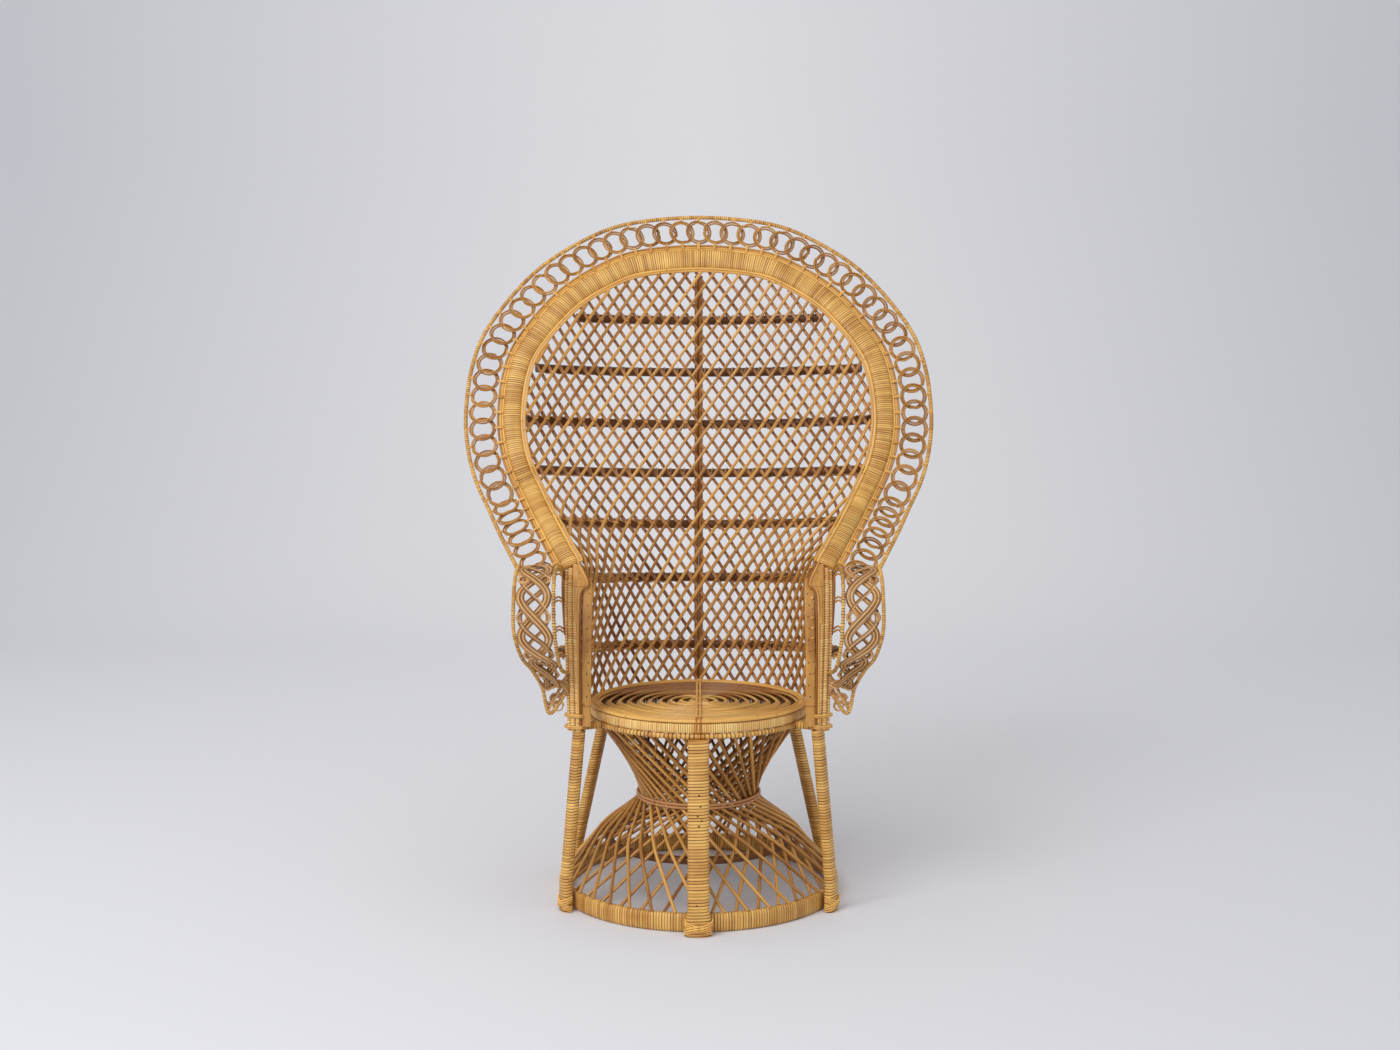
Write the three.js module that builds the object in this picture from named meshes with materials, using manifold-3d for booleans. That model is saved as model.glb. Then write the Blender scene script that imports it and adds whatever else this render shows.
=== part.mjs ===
// A peacock chair of natural rattan, in millimetres, +Z up, with the sitter facing -Y.
// A round woven seat stands on six wrapped legs and an hourglass of twisted strands.
// A lattice back wraps round the seat and opens into a fan, edged by a wrapped hoop
// and a halo of interlocked rings. Openwork arms roll over in front of the posts.

import * as THREE from 'three';
import { mergeVertices } from 'three/addons/utils/BufferGeometryUtils.js';
import Module from 'manifold-3d';

const wasm = await Module();
wasm.setup();

// Clearances
const clearance = 0.1;
const corner_clearance = 0.3;
const rail_end_clearance = 0.4;
const rail_start_clearance = 0.5;
const lace_clearance = 0.2;
const merge_tolerance = 0.0001;

// Seat
const seat_ring_radius = 228;
const apron_bottom_height = 380;
const apron_height = 20;
const apron_thickness = 13;
const seat_rim_rod_diameter = 10;
const seat_lower_rod_diameter = 11;
const mat_thickness = 6.5;
const mat_side_wedge_angle = 20;
const mat_slot_count = 8;
const mat_slot_pitch = 20;
const mat_slot_width = 6;
const mat_slot_reach = 26;
const mat_slot_start_radius = 66;
const centre_bar_width = 12;
const centre_bar_thickness = 3.4;

// Legs, each of two poles wrapped side by side
const leg_width = 46;
const leg_thickness = 25;
const leg_foot_height = 34;
const leg_foot_swell = 3;
const leg_spacing_angle = 60;
const side_leg_top_inset = 32;

// Hourglass base of twisted strands
const base_hoop_radius = 288;
const base_hoop_height = 38;
const base_hoop_thickness = 17;
const strand_diameter = 7.5;
const strand_layer_gap = 0.7;
const strand_count = 38;
const inner_strand_count = 24;
const bell_twist_angle = 48;
const funnel_twist_angle = 47;
const waist_radius = 121;
const waist_height = 205;
const waist_rod_diameter = 6;
const waist_rod_lift = 2.4;
const knee_radius = 206;
const knee_height = 137;
const knee_hoop_diameter = 19.5;

// Lattice back
const back_top_height = 1325;
const back_half_width = 381;
const back_depth = 278.6;
const back_foot_depth = 243;
const barrel_margin = 7.84;
const back_recline = 0.133;
const back_tilt = 0.12;
const fan_radius = 550;
const lattice_low_lift = 8;
const lattice_rod_diameter = 6;
const lattice_layer_gap = 5.4;
const edge_rod_shift = 4.4;
const lattice_pitch = 30.5;
const lattice_edge_margin = 8.5;
const fan_edge_margin = 3.6;
const bar_diameter = 20;
const bar_count = 6;
const bar_first_height = 630;
const bar_top_gap = 107.5;
const low_bar_height = 478;
const spine_diameter = 20;

// Hoop, its borders and the halo of rings
const hoop_lean_angle = 22;
const border_rod_diameter = 6.2;
const band_side_width = 32;
const band_top_width = 43;
const band_thickness = 20;
const outer_border_diameter = 11;
const rail_diameter = 5;
const ring_diameter = 52;
const ring_strand_diameter = 5.4;
const ring_pitch = 39.2;
const rim_diameter = 9.4;
const ring_bite = 1.6;
const ring_layer_gap = 1.8;

// Posts, panels and ties
const post_rod_diameter = 12;
const post_thin_diameter = 8;
const post_offset_out = 14.4;
const post_line_angle = 30;
const panel_width = 21;
const panel_thickness = 6;
const panel_inset = 8.5;
const panel_set_back = 0.9;
const panel_top_height = 672;
const tie_length = 47;
const tie_width = 22;
const tie_height = 16;

// Arms
const arm_rod_diameter = 8;
const arm_back_depth = 45;
const arm_length = 200;
const arm_width = 77;
const arm_post_gap = 8;
const arm_height = 703;
const arm_drop_height = 191;
const inner_rail_end_height = 486;
const lower_rail_end_height = 452;
const lace_width = 14;
const lace_thickness = 3.4;
const lace_layer_gap = 1;
const lace_wave_count = 5;

const rattan_light = new THREE.MeshStandardMaterial({ color: 0xdcab68, roughness: 0.5, metalness: 0 });
const rattan_mid = new THREE.MeshStandardMaterial({ color: 0xc4935a, roughness: 0.55, metalness: 0 });
const rattan_dark = new THREE.MeshStandardMaterial({ color: 0x9a6a3e, roughness: 0.6, metalness: 0 });
const rattan_red = new THREE.MeshStandardMaterial({ color: 0xb0784a, roughness: 0.5, metalness: 0 });

const chair = new THREE.Group();

function radians(angle) {
  return THREE.MathUtils.degToRad(angle);
}

function add(name, geometry, material) {
  const mesh = new THREE.Mesh(geometry, material);
  mesh.name = name;
  chair.add(mesh);
  return mesh;
}

// A path that passes straight from point to point, one step for each point.
class StraightPath extends THREE.Curve {
  constructor(points) {
    super();
    this.points = points;
  }

  getPoint(t, target = new THREE.Vector3()) {
    const last = this.points.length - 1;
    const place = THREE.MathUtils.clamp(t, 0, 1) * last;
    const index = Math.min(Math.floor(place), last - 1);
    return target.lerpVectors(this.points[index], this.points[index + 1], place - index);
  }

  // At a corner the tangent halves the turn, however long the two stretches are.
  getTangent(t, target = new THREE.Vector3()) {
    const last = this.points.length - 1;
    const index = Math.round(THREE.MathUtils.clamp(t, 0, 1) * last);
    const start = Math.max(index, 1);
    const end = Math.min(index, last - 1);
    const before = this.points[start].clone().sub(this.points[start - 1]).normalize();
    const after = this.points[end + 1].clone().sub(this.points[end]).normalize();
    return target.addVectors(before, after).normalize();
  }

  getPointAt(u, target) {
    return this.getPoint(u, target);
  }

  getUtoTmapping(u) {
    return u;
  }

  getSpacedPoints(divisions) {
    return this.getPoints(divisions);
  }
}

function roundOutline(diameter, sides) {
  const corners = [];
  for (let i = 0; i < sides; i += 1) {
    const turn = (i / sides) * Math.PI * 2;
    corners.push(new THREE.Vector2(Math.cos(turn), Math.sin(turn)).multiplyScalar(diameter / 2));
  }
  return new THREE.Shape(corners);
}

// A rod of round section through the given points.
function rod(points, diameter, sides) {
  return new THREE.ExtrudeGeometry(roundOutline(diameter, sides), {
    steps: points.length - 1,
    extrudePath: new StraightPath(points),
    bevelEnabled: false,
  });
}

// A skin stretched over sections that all have the same number of points.
function loft(sections) {
  const around = sections[0].length;
  const positions = [];
  const index = [];
  for (const section of sections) {
    for (const point of section) positions.push(point.x, point.y, point.z);
  }
  for (let i = 0; i < sections.length - 1; i += 1) {
    for (let j = 0; j < around; j += 1) {
      const a = i * around + j;
      const b = i * around + ((j + 1) % around);
      index.push(a, b, b + around, a, b + around, a + around);
    }
  }
  const end = (sections.length - 1) * around;
  for (let j = 1; j < around - 1; j += 1) {
    index.push(0, j + 1, j, end, end + j, end + j + 1);
  }
  const geometry = new THREE.BufferGeometry();
  geometry.setAttribute('position', new THREE.Float32BufferAttribute(positions, 3));
  geometry.setIndex(index);
  geometry.computeVertexNormals();
  return geometry;
}

// A flat or oval strip: each frame has a place, a direction across and a direction through.
function strip(frames, outline) {
  const [first, second] = frames;
  const along = second.place.clone().sub(first.place);
  const turned = first.across.clone().cross(first.through).dot(along) < 0;
  const corners = turned ? [...outline].reverse() : outline;
  return loft(frames.map(({ place, across, through, wide = 1 }) => corners.map((corner) => place.clone()
    .addScaledVector(across, corner.x * wide)
    .addScaledVector(through, corner.y))));
}

// An oval, or with a corner power below one an oblong with rounded corners.
function ovalOutline(width, thickness, sides, corner_power) {
  const corners = [];
  for (let i = 0; i < sides; i += 1) {
    const turn = ((i + 0.5) / sides) * Math.PI * 2;
    const c = Math.cos(turn);
    const s = Math.sin(turn);
    corners.push(new THREE.Vector2(
      Math.sign(c) * Math.abs(c) ** corner_power,
      Math.sign(s) * Math.abs(s) ** corner_power,
    ));
  }
  const widest = Math.max(...corners.map((corner) => corner.x));
  const thickest = Math.max(...corners.map((corner) => corner.y));
  return corners.map((corner) => new THREE.Vector2(
    (corner.x / widest) * (width / 2),
    (corner.y / thickest) * (thickness / 2),
  ));
}

// A closed profile turned round the seat's axis.
function ring(profile, segments) {
  const closed = [...profile, profile[0]];
  return new THREE.LatheGeometry(closed, segments).rotateX(Math.PI / 2);
}

function roundRing(radius, height, diameter, segments, sides) {
  const profile = roundOutline(diameter, sides).getPoints().slice(0, sides)
    .map((corner) => new THREE.Vector2(radius + corner.x, height + corner.y));
  return ring(profile, segments);
}

// How far the middle of a ring's straight segment falls inside its true circle.
function ringSag(radius, segments) {
  return radius * (1 - Math.cos(Math.PI / segments));
}

const band_sides = 8;
const band_corner_power = 0.6;

function bandRing(radius, bottom, height, thickness, segments) {
  const middle = new THREE.Vector2(radius, bottom + height / 2);
  const outline = ovalOutline(thickness, height, band_sides, band_corner_power);
  return ring(outline.map((corner) => corner.add(middle)), segments);
}

function toSolid(geometry) {
  const plain = geometry.clone();
  plain.deleteAttribute('normal');
  plain.deleteAttribute('uv');
  const merged = mergeVertices(plain, merge_tolerance);
  return new wasm.Manifold(new wasm.Mesh({
    numProp: 3,
    vertProperties: new Float32Array(merged.attributes.position.array),
    triVerts: new Uint32Array(merged.index.array),
  }));
}

function fromSolid(solid) {
  const mesh = solid.getMesh();
  const geometry = new THREE.BufferGeometry();
  geometry.setAttribute('position', new THREE.BufferAttribute(new Float32Array(mesh.vertProperties), 3));
  geometry.setIndex(new THREE.BufferAttribute(new Uint32Array(mesh.triVerts), 1));
  geometry.computeVertexNormals();
  return geometry;
}

function joined(geometries) {
  return fromSolid(geometries.map(toSolid).reduce((sum, solid) => sum.add(solid)));
}

function polar(radius, angle, height) {
  return new THREE.Vector3(radius * Math.sin(angle), -radius * Math.cos(angle), height);
}

// Base hoop, wrapped all round, on the floor
const hoop_segments = 36;
const base_hoop_band = bandRing(base_hoop_radius, 0, base_hoop_height, base_hoop_thickness, hoop_segments);
add('base_hoop', base_hoop_band, rattan_light);

// Six legs of two poles each, wrapped together
const leg_foot_radius = base_hoop_radius + leg_foot_swell
  + (base_hoop_thickness + leg_thickness) / 2 + clearance;
const lower_rod_radius = seat_ring_radius - seat_lower_rod_diameter / 4;
const leg_upright_height = base_hoop_height + leg_thickness / 2;
const leg_top_height = apron_bottom_height - seat_lower_rod_diameter - clearance;
const leg_sides = 10;
const leg_corner_power = 0.7;

function leg(name, turns, top_radius, top_height) {
  const angle = radians(turns * leg_spacing_angle);
  const across = new THREE.Vector3(Math.cos(angle), Math.sin(angle), 0);
  const through = polar(1, angle, 0);
  const stations = [
    [0, 1],
    [leg_foot_swell, 1 + (2 * leg_foot_swell) / leg_width],
    [leg_foot_height, 1 + (2 * leg_foot_swell) / leg_width],
    [leg_upright_height, 1],
    [top_height, 1],
  ];
  const frames = stations.map(([height, wide]) => ({
    place: polar(THREE.MathUtils.mapLinear(
      Math.max(height, leg_upright_height),
      leg_upright_height,
      top_height,
      leg_foot_radius,
      top_radius,
    ), angle, height),
    across,
    through,
    wide,
  }));
  const outline = ovalOutline(leg_width, leg_thickness, leg_sides, leg_corner_power);
  add(name, strip(frames, outline), rattan_light);
}

const leg_top_radius = lower_rod_radius + leg_thickness / 4;
const side_leg_top_radius = leg_foot_radius - side_leg_top_inset;
leg('leg_front', 0, leg_top_radius, leg_top_height);
leg('leg_rear', 3, leg_top_radius, leg_top_height);
leg('leg_rear_left', -2, leg_top_radius, leg_top_height);
leg('leg_rear_right', 2, leg_top_radius, leg_top_height);
leg('leg_side_left', -1, side_leg_top_radius, leg_top_height);
leg('leg_side_right', 1, side_leg_top_radius, leg_top_height);

// Seat ring: lower rod, wrapped apron and rim rod
const seat_segments = 36;
const seat_rod_sides = 4;
add('seat_lower_rod', roundRing(
  lower_rod_radius,
  apron_bottom_height - clearance - seat_lower_rod_diameter / 2,
  seat_lower_rod_diameter,
  seat_segments,
  seat_rod_sides,
), rattan_light);
const apron_radius = seat_ring_radius - apron_thickness / 2;
const apron_band = bandRing(apron_radius, apron_bottom_height, apron_height, apron_thickness, seat_segments);
add('seat_apron', apron_band, rattan_light);
const apron_top_height = apron_bottom_height + apron_height;
const rim_rod_radius = seat_ring_radius - seat_rim_rod_diameter / 2;
add('seat_rim_rod', roundRing(
  rim_rod_radius,
  apron_top_height + clearance + seat_rim_rod_diameter / 2,
  seat_rim_rod_diameter,
  seat_segments,
  seat_rod_sides,
), rattan_light);

// Woven seat in four sectors, the side ones open between their chevron loops
const rim_sag = ringSag(seat_ring_radius, seat_segments);
const mat_radius = rim_rod_radius - seat_rim_rod_diameter / 2 - clearance - rim_sag;
const mat_bottom_height = apron_top_height + clearance;
const wide_mat_segments = 20;
const narrow_mat_segments = 8;

function matSector(middle, half) {
  const shape = new THREE.Shape();
  const start = radians(middle - half);
  const end = radians(middle + half);
  const away = clearance / Math.sin(radians(half));
  const tip = new THREE.Vector2(Math.cos(radians(middle)), Math.sin(radians(middle))).multiplyScalar(away);
  const slip = clearance / mat_radius;
  shape.moveTo(tip.x, tip.y);
  shape.absarc(0, 0, mat_radius, start + slip, end - slip, false);
  shape.lineTo(tip.x, tip.y);
  return shape;
}

function chevron(radius, side) {
  const reach = mat_slot_reach * (radius / mat_radius) + mat_slot_width;
  const back = reach / 2;
  const corners = [
    [radius, 0],
    [radius - back, reach],
    [radius - back - mat_slot_width, reach],
    [radius - mat_slot_width, 0],
    [radius - back - mat_slot_width, -reach],
    [radius - back, -reach],
  ];
  return new THREE.Path(corners.map(([x, y]) => new THREE.Vector2(side * x, y)));
}

function mat(name, middle, half, side) {
  const shape = matSector(middle, half);
  if (side) {
    for (let i = 0; i < mat_slot_count; i += 1) {
      shape.holes.push(chevron(mat_slot_start_radius + i * mat_slot_pitch, side));
    }
  }
  const geometry = new THREE.ExtrudeGeometry(shape, {
    depth: mat_thickness,
    bevelEnabled: false,
    curveSegments: side ? narrow_mat_segments : wide_mat_segments,
  });
  add(name, geometry, rattan_mid).position.z = mat_bottom_height;
}

mat('seat_mat_front', -90, 90 - mat_side_wedge_angle, 0);
mat('seat_mat_rear', 90, 90 - mat_side_wedge_angle, 0);
mat('seat_mat_left', 180, mat_side_wedge_angle, -1);
mat('seat_mat_right', 0, mat_side_wedge_angle, 1);
const centre_bar_length = 2 * (mat_radius - seat_rim_rod_diameter / 2);
const centre_bar = new THREE.BoxGeometry(centre_bar_width, centre_bar_length, centre_bar_thickness);
const centre_bar_height = mat_bottom_height + mat_thickness + clearance + centre_bar_thickness / 2;
add('seat_centre_bar', centre_bar, rattan_light).position.z = centre_bar_height;

// Hourglass: each layer is one strand that runs to and fro between its two rings.
// A station of the outer layer is a radius, a height, a share of the twist and the spread
// that the inner layer keeps from it.
const strand_sides = 3;
const strand_pitch = strand_diameter + strand_layer_gap;
const funnel_top_height = apron_bottom_height - clearance - seat_lower_rod_diameter / 2;
const funnel_top_radius = lower_rod_radius - seat_lower_rod_diameter / 2 - clearance - strand_diameter / 2;
const bell_foot_height = base_hoop_height + clearance + strand_diameter / 2;
const bell_foot_radius = base_hoop_radius + strand_diameter / 2;
const waist_low = waist_height - strand_diameter / 2 - clearance;
const waist_high = waist_height + strand_diameter / 2 + clearance;

function spreadOf(low, high) {
  return strand_pitch / Math.sin(Math.atan2(Math.abs(high[1] - low[1]), Math.abs(high[0] - low[0])));
}

function strandLayer(name, stations, twist, count, inner, material) {
  const points = [];
  for (let i = 0; i < count; i += 1) {
    const order = i % 2 ? [...stations].reverse() : stations;
    const start = (i / count) * Math.PI * 2;
    for (const [radius, height, share, spread] of order) {
      points.push(polar(radius - inner * spread, start + radians(twist) * share, height));
    }
  }
  add(name, rod(points, strand_diameter, strand_sides), material);
}

const bell_ends = [
  [waist_radius, waist_low],
  [knee_radius, knee_height],
  [bell_foot_radius, bell_foot_height],
];
const bell_upper_spread = spreadOf(bell_ends[0], bell_ends[1]);
const bell_lower_spread = spreadOf(bell_ends[1], bell_ends[2]);
const knee_share = 0.5;
const bell_stations = [
  [...bell_ends[0], 0, bell_upper_spread],
  [...bell_ends[1], knee_share, bell_upper_spread],
  [...bell_ends[2], 1, bell_lower_spread],
];

// Straight strands between two rings pass nearer the axis than a cone does.
const funnel_spread = spreadOf([waist_radius, waist_high], [funnel_top_radius, funnel_top_height]);
const funnel_steps = 2;
const funnel_stations = [];
for (let i = 0; i <= funnel_steps; i += 1) {
  const share = i / funnel_steps;
  const low = new THREE.Vector2(waist_radius, 0);
  const high = new THREE.Vector2(funnel_top_radius, 0);
  high.rotateAround(new THREE.Vector2(), radians(funnel_twist_angle));
  const place = low.lerp(high, share);
  const height = THREE.MathUtils.lerp(waist_high, funnel_top_height, share);
  const turn = place.angle() / radians(funnel_twist_angle);
  funnel_stations.push([place.length(), height, turn, funnel_spread]);
}
strandLayer('bell_strands_outer', bell_stations, bell_twist_angle, strand_count, 0, rattan_mid);
strandLayer('bell_strands_inner', bell_stations, -bell_twist_angle, inner_strand_count, 1, rattan_dark);
strandLayer('funnel_strands_outer', funnel_stations, -funnel_twist_angle, strand_count, 0, rattan_mid);
strandLayer('funnel_strands_inner', funnel_stations, funnel_twist_angle, inner_strand_count, 1, rattan_dark);

// Waist rods outside the strands, and the knee hoop inside them
const waist_segments = 20;
const waist_rod_sides = 5;
const waist_rod_radius = waist_radius + strand_diameter / 2 + clearance + waist_rod_diameter / 2
  + ringSag(waist_radius, waist_segments) + corner_clearance;
for (const [name, side] of [['waist_rod_upper', 1], ['waist_rod_lower', -1]]) {
  const height = waist_height + waist_rod_lift + side * (waist_rod_diameter + clearance) / 2;
  const waist_rod = roundRing(waist_rod_radius, height, waist_rod_diameter, waist_segments, waist_rod_sides);
  add(name, waist_rod, rattan_red);
}
const knee_inward = new THREE.Vector2(bell_foot_radius - waist_radius, bell_foot_height - waist_low)
  .normalize()
  .rotateAround(new THREE.Vector2(), -Math.PI / 2);
const knee_sag = ringSag(knee_radius, inner_strand_count) / 2;
const knee_reach = strand_pitch + (strand_diameter + knee_hoop_diameter) / 2
  + 2 * corner_clearance + knee_sag;
const knee_segments = 24;
const knee_sides = 6;
add('knee_hoop', roundRing(
  knee_radius + knee_inward.x * knee_reach,
  knee_height + knee_inward.y * knee_reach,
  knee_hoop_diameter,
  knee_segments,
  knee_sides,
), rattan_dark);

// Back surface. Each row, from the crown down, holds the half width, the height and the
// depth of the section as shares, and below the fan the angle that the section turns.
const back_foot_height = apron_top_height;
const back_height = back_top_height - back_foot_height;
const barrel_half_width = seat_ring_radius + barrel_margin;
const barrel_share = 0.619;
const widest_row = 7;
const back_rows_share = [
  [-0.294, 0.99, 1.01],
  [0, 1, 1],
  [0.294, 0.99, 1.01],
  [0.477, 0.965, 1.03],
  [0.713, 0.9, 1.12],
  [0.91, 0.8, 1.17],
  [0.978, 0.73, 1.25],
  [1, 0.64, 1.47],
  [0.986, 0.576, 1.72],
  [0.95, 0.523, 2.08],
  [0.894, 0.472, 2.38],
  [0.823, 0.42, 2.33, 46],
  [0.747, 0.37, 2.07, 56],
  [0.679, 0.325, 1.8, 66],
  [0.624, 0.287, 1.47, 78],
  [0.619, 0.25, 1.28, 87],
  [0.619, 0.223, 1.19, 94],
  [0.619, 0.11, 1.06, 107],
  [0.619, 0, 1, 113],
  [0.619, -0.1, 1, 113],
];
const back_rows = back_rows_share.map(([width, height, depth, turn], i) => {
  const fan_share = (width - barrel_share) / (1 - barrel_share);
  const half_width = i < widest_row
    ? width * back_half_width
    : THREE.MathUtils.lerp(barrel_half_width, back_half_width, fan_share);
  return [
    half_width,
    back_foot_height + height * back_height,
    depth * back_depth,
    turn === undefined ? Math.asin(half_width / fan_radius) : radians(turn),
  ];
});
const crown_row = 1;
const neck_row = 14;
const search_steps = 40;

function rowAt(place) {
  const last = back_rows.length - 1;
  const index = THREE.MathUtils.clamp(Math.floor(place), 0, last - 1);
  const t = place - index;
  const rows = [index - 1, index, index + 1, index + 2]
    .map((i) => back_rows[THREE.MathUtils.clamp(i, 0, last)]);
  return [0, 1, 2, 3].map((column) => {
    const [a, b, c, d] = rows.map((row) => row[column]);
    const slope = (c - a) * t;
    const square = (2 * a - 5 * b + 4 * c - d) * t * t;
    const cube = (3 * b - a - 3 * c + d) * t * t * t;
    return (2 * b + slope + square + cube) / 2;
  });
}

// The row of a given height, found between the crown and the foot.
function rowOfHeight(height) {
  let low = crown_row;
  let high = back_rows.length - 1;
  for (let i = 0; i < search_steps; i += 1) {
    const middle = (low + high) / 2;
    if (rowAt(middle)[1] > height) low = middle;
    else high = middle;
  }
  return rowAt((low + high) / 2);
}

function spineDepth(height) {
  return back_foot_depth + back_recline * (height - back_foot_height);
}

function halfAxis(row) {
  return row[3] > 0.001 ? row[0] / Math.sin(row[3]) : fan_radius;
}

// The angle of a point that lies a margin inside the edge of the back.
function edgeAngle(row, margin) {
  return row[3] - margin / Math.hypot(halfAxis(row) * Math.cos(row[3]), row[2] * Math.sin(row[3]));
}

// A point of the back surface at an angle round its section, with an offset away from the sitter.
function backPoint(row, angle, offset = 0) {
  const axis = halfAxis(row);
  const forward = row[2] * (1 - Math.cos(angle));
  const normal = new THREE.Vector2(Math.sin(angle) / axis, Math.cos(angle) / row[2]).normalize();
  return new THREE.Vector3(
    axis * Math.sin(angle) + normal.x * offset,
    spineDepth(row[1]) - forward + normal.y * offset,
    row[1] + back_tilt * forward,
  );
}

// Lattice: two layers of slanting rods, each layer one rod that turns at the borders
const lattice_offset = (lattice_rod_diameter + lattice_layer_gap) / 2;
const lattice_low_height = apron_bottom_height + lattice_low_lift;
const barrel_pitch_share = 0.9;
const lattice_rise_share = 0.0451;
const lattice_rise = back_height * lattice_rise_share;
const lattice_sides = 3;

// Common levels where both layers have their corners, closest at the neck
const lowest_level_share = 2.1;
const neck_bottom_share = 0.14;
const neck_top_share = 0.5;
const shoulder_top_share = 0.72;
const lattice_lowest = back_foot_height - lattice_rise * lowest_level_share;
const neck_bottom = back_foot_height + back_height * neck_bottom_share;
const neck_top = back_foot_height + back_height * neck_top_share;
const shoulder_top = back_foot_height + back_height * shoulder_top_share;
const lattice_levels = [];
for (let level = lattice_lowest; level < back_top_height - lattice_rise;) {
  lattice_levels.push(level);
  if (level >= neck_bottom && level < neck_top) level += lattice_rise;
  else level += lattice_rise * (level < shoulder_top ? 2 : 3);
}
lattice_levels.push(back_top_height);

const close_pitch_share = 0.2;
const open_pitch_share = 0.45;

function latticePitch(height) {
  const height_share = (height - back_foot_height) / back_height;
  const share = THREE.MathUtils.smoothstep(height_share, close_pitch_share, open_pitch_share);
  return lattice_pitch * THREE.MathUtils.lerp(barrel_pitch_share, 1, share);
}

function latticeAngle(row, line, slope) {
  const turns = line + slope * (row[1] - back_foot_height) / lattice_rise;
  return (turns * latticePitch(row[1])) / halfAxis(row);
}

function insideBack(row, angle) {
  const forward = row[2] * (1 - Math.cos(angle));
  const low = row[1] + back_tilt * forward >= lattice_low_height;
  const margin = row[1] > neck_top ? fan_edge_margin : lattice_edge_margin;
  return low && Math.abs(angle) <= edgeAngle(row, margin);
}

// The runs of one line, each from where it enters the outline to where it leaves it.
function latticeRuns(line, slope, offset) {
  const fine = 12;
  const runs = [];
  let run = [];
  let previous = null;
  for (let i = 0; i <= (lattice_levels.length - 1) * fine; i += 1) {
    const index = Math.min(Math.floor(i / fine), lattice_levels.length - 2);
    const share = i / fine - index;
    const row = rowOfHeight(THREE.MathUtils.lerp(lattice_levels[index], lattice_levels[index + 1], share));
    const here = { row, angle: latticeAngle(row, line, slope) };
    const inside = insideBack(row, here.angle);
    if (inside && (run.length === 0 || i % fine === 0)) run.push(here);
    if (!inside && run.length) {
      if (previous !== run[run.length - 1]) run.push(previous);
      runs.push(run);
      run = [];
    }
    previous = here;
  }
  return [...runs, run].map((corners) => {
    const path = corners.map(({ row, angle }) => backPoint(row, angle, offset));
    const last = path.length - 1;
    if (last > 1 && path[last].distanceTo(path[last - 1]) < lattice_rod_diameter) path.splice(last - 1, 1);
    if (path.length > 2 && path[0].distanceTo(path[1]) < lattice_rod_diameter) path.splice(1, 1);
    return path;
  }).filter((path) => path.length > 1 && path[0].distanceTo(path[path.length - 1]) > lattice_pitch);
}

// A line that the neck cuts in two has its lower run as a rod of its own.
function latticeLayer(name, slope, offset, material) {
  const points = [];
  const lower = [];
  const edge_offset = offset - Math.sign(offset) * edge_rod_shift;
  const lines = Math.ceil(back_height / lattice_rise) * 2;
  for (let line = -lines; line <= lines; line += 1) {
    const runs = latticeRuns(line, slope, offset);
    if (runs.length === 0) continue;
    const path = runs.pop();
    if (runs.length) lower.push(latticeRuns(line, slope, edge_offset)[0]);
    const odd = line % 2 !== 0;
    points.push(...(odd === slope > 0 ? path.reverse() : path));
  }
  add(name, rod(points, lattice_rod_diameter, lattice_sides), material);
  lower.sort((a, b) => b.length - a.length);
  add(`${name}_edge`, rod(lower[0], lattice_rod_diameter, lattice_sides), material);
}

latticeLayer('lattice_front', 1, -lattice_offset, rattan_mid);
latticeLayer('lattice_rear', -1, lattice_offset, rattan_red);

// Spine pole and horizontal bars behind the lattice
const behind_lattice = lattice_offset + lattice_rod_diameter / 2 + clearance;
const spine_offset = behind_lattice + spine_diameter / 2;
const spine_steps = 6;
const spine_sides = 8;
const spine_points = [];
for (let i = 0; i <= spine_steps; i += 1) {
  const top = back_top_height - border_rod_diameter;
  const height = THREE.MathUtils.lerp(lattice_low_height, top, i / spine_steps);
  spine_points.push(backPoint(rowOfHeight(height), 0, spine_offset));
}
add('spine_pole', rod(spine_points, spine_diameter, spine_sides), rattan_dark);

const bar_segments = 12;
const bar_sides = 6;
const low_bar_margin = 32;
const neck_bar_margin = 60;
const bar_margin = 20;

function bar(name, height, margin) {
  const row = rowOfHeight(height);
  const edge = edgeAngle(row, margin);
  const offset = spine_offset + (spine_diameter + bar_diameter + clearance) / 2;
  const points = [];
  for (let i = 0; i <= bar_segments; i += 1) {
    points.push(backPoint(row, THREE.MathUtils.lerp(-edge, edge, i / bar_segments), offset));
  }
  add(name, rod(points, bar_diameter, bar_sides), rattan_dark);
}

const bar_pitch = (back_top_height - bar_top_gap - bar_first_height) / (bar_count - 1);
bar('back_bar_1', low_bar_height, low_bar_margin);
for (let i = 0; i < bar_count; i += 1) {
  bar(`back_bar_${i + 2}`, bar_first_height + i * bar_pitch, i ? bar_margin : neck_bar_margin);
}

// Hoop line along the edge of the fan, from the left neck over the crown to the right neck
const hoop_points = [];
const hoop_steps = 36;
for (let i = -hoop_steps; i <= hoop_steps; i += 1) {
  const place = THREE.MathUtils.lerp(crown_row, neck_row, Math.abs(i) / hoop_steps);
  const row = rowAt(place);
  hoop_points.push(backPoint(row, Math.sign(i) * row[3]));
}
const hoop_line = new THREE.CatmullRomCurve3(hoop_points);
const hoop_divisions = 800;
hoop_line.arcLengthDivisions = hoop_divisions;
const hoop_lean = radians(hoop_lean_angle);
const hoop_face = new THREE.Vector3(0, -Math.cos(hoop_lean), Math.sin(hoop_lean));

function hoopFrame(share) {
  const place = hoop_line.getPointAt(share);
  const along = hoop_line.getTangentAt(share);
  const face = hoop_face.clone().addScaledVector(along, -hoop_face.dot(along)).normalize();
  return { place, along, face, out: face.clone().cross(along).normalize() };
}

function bandWidth(share) {
  const crown = Math.sin(share * Math.PI) ** 2;
  return THREE.MathUtils.lerp(band_side_width, band_top_width, crown);
}

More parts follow.
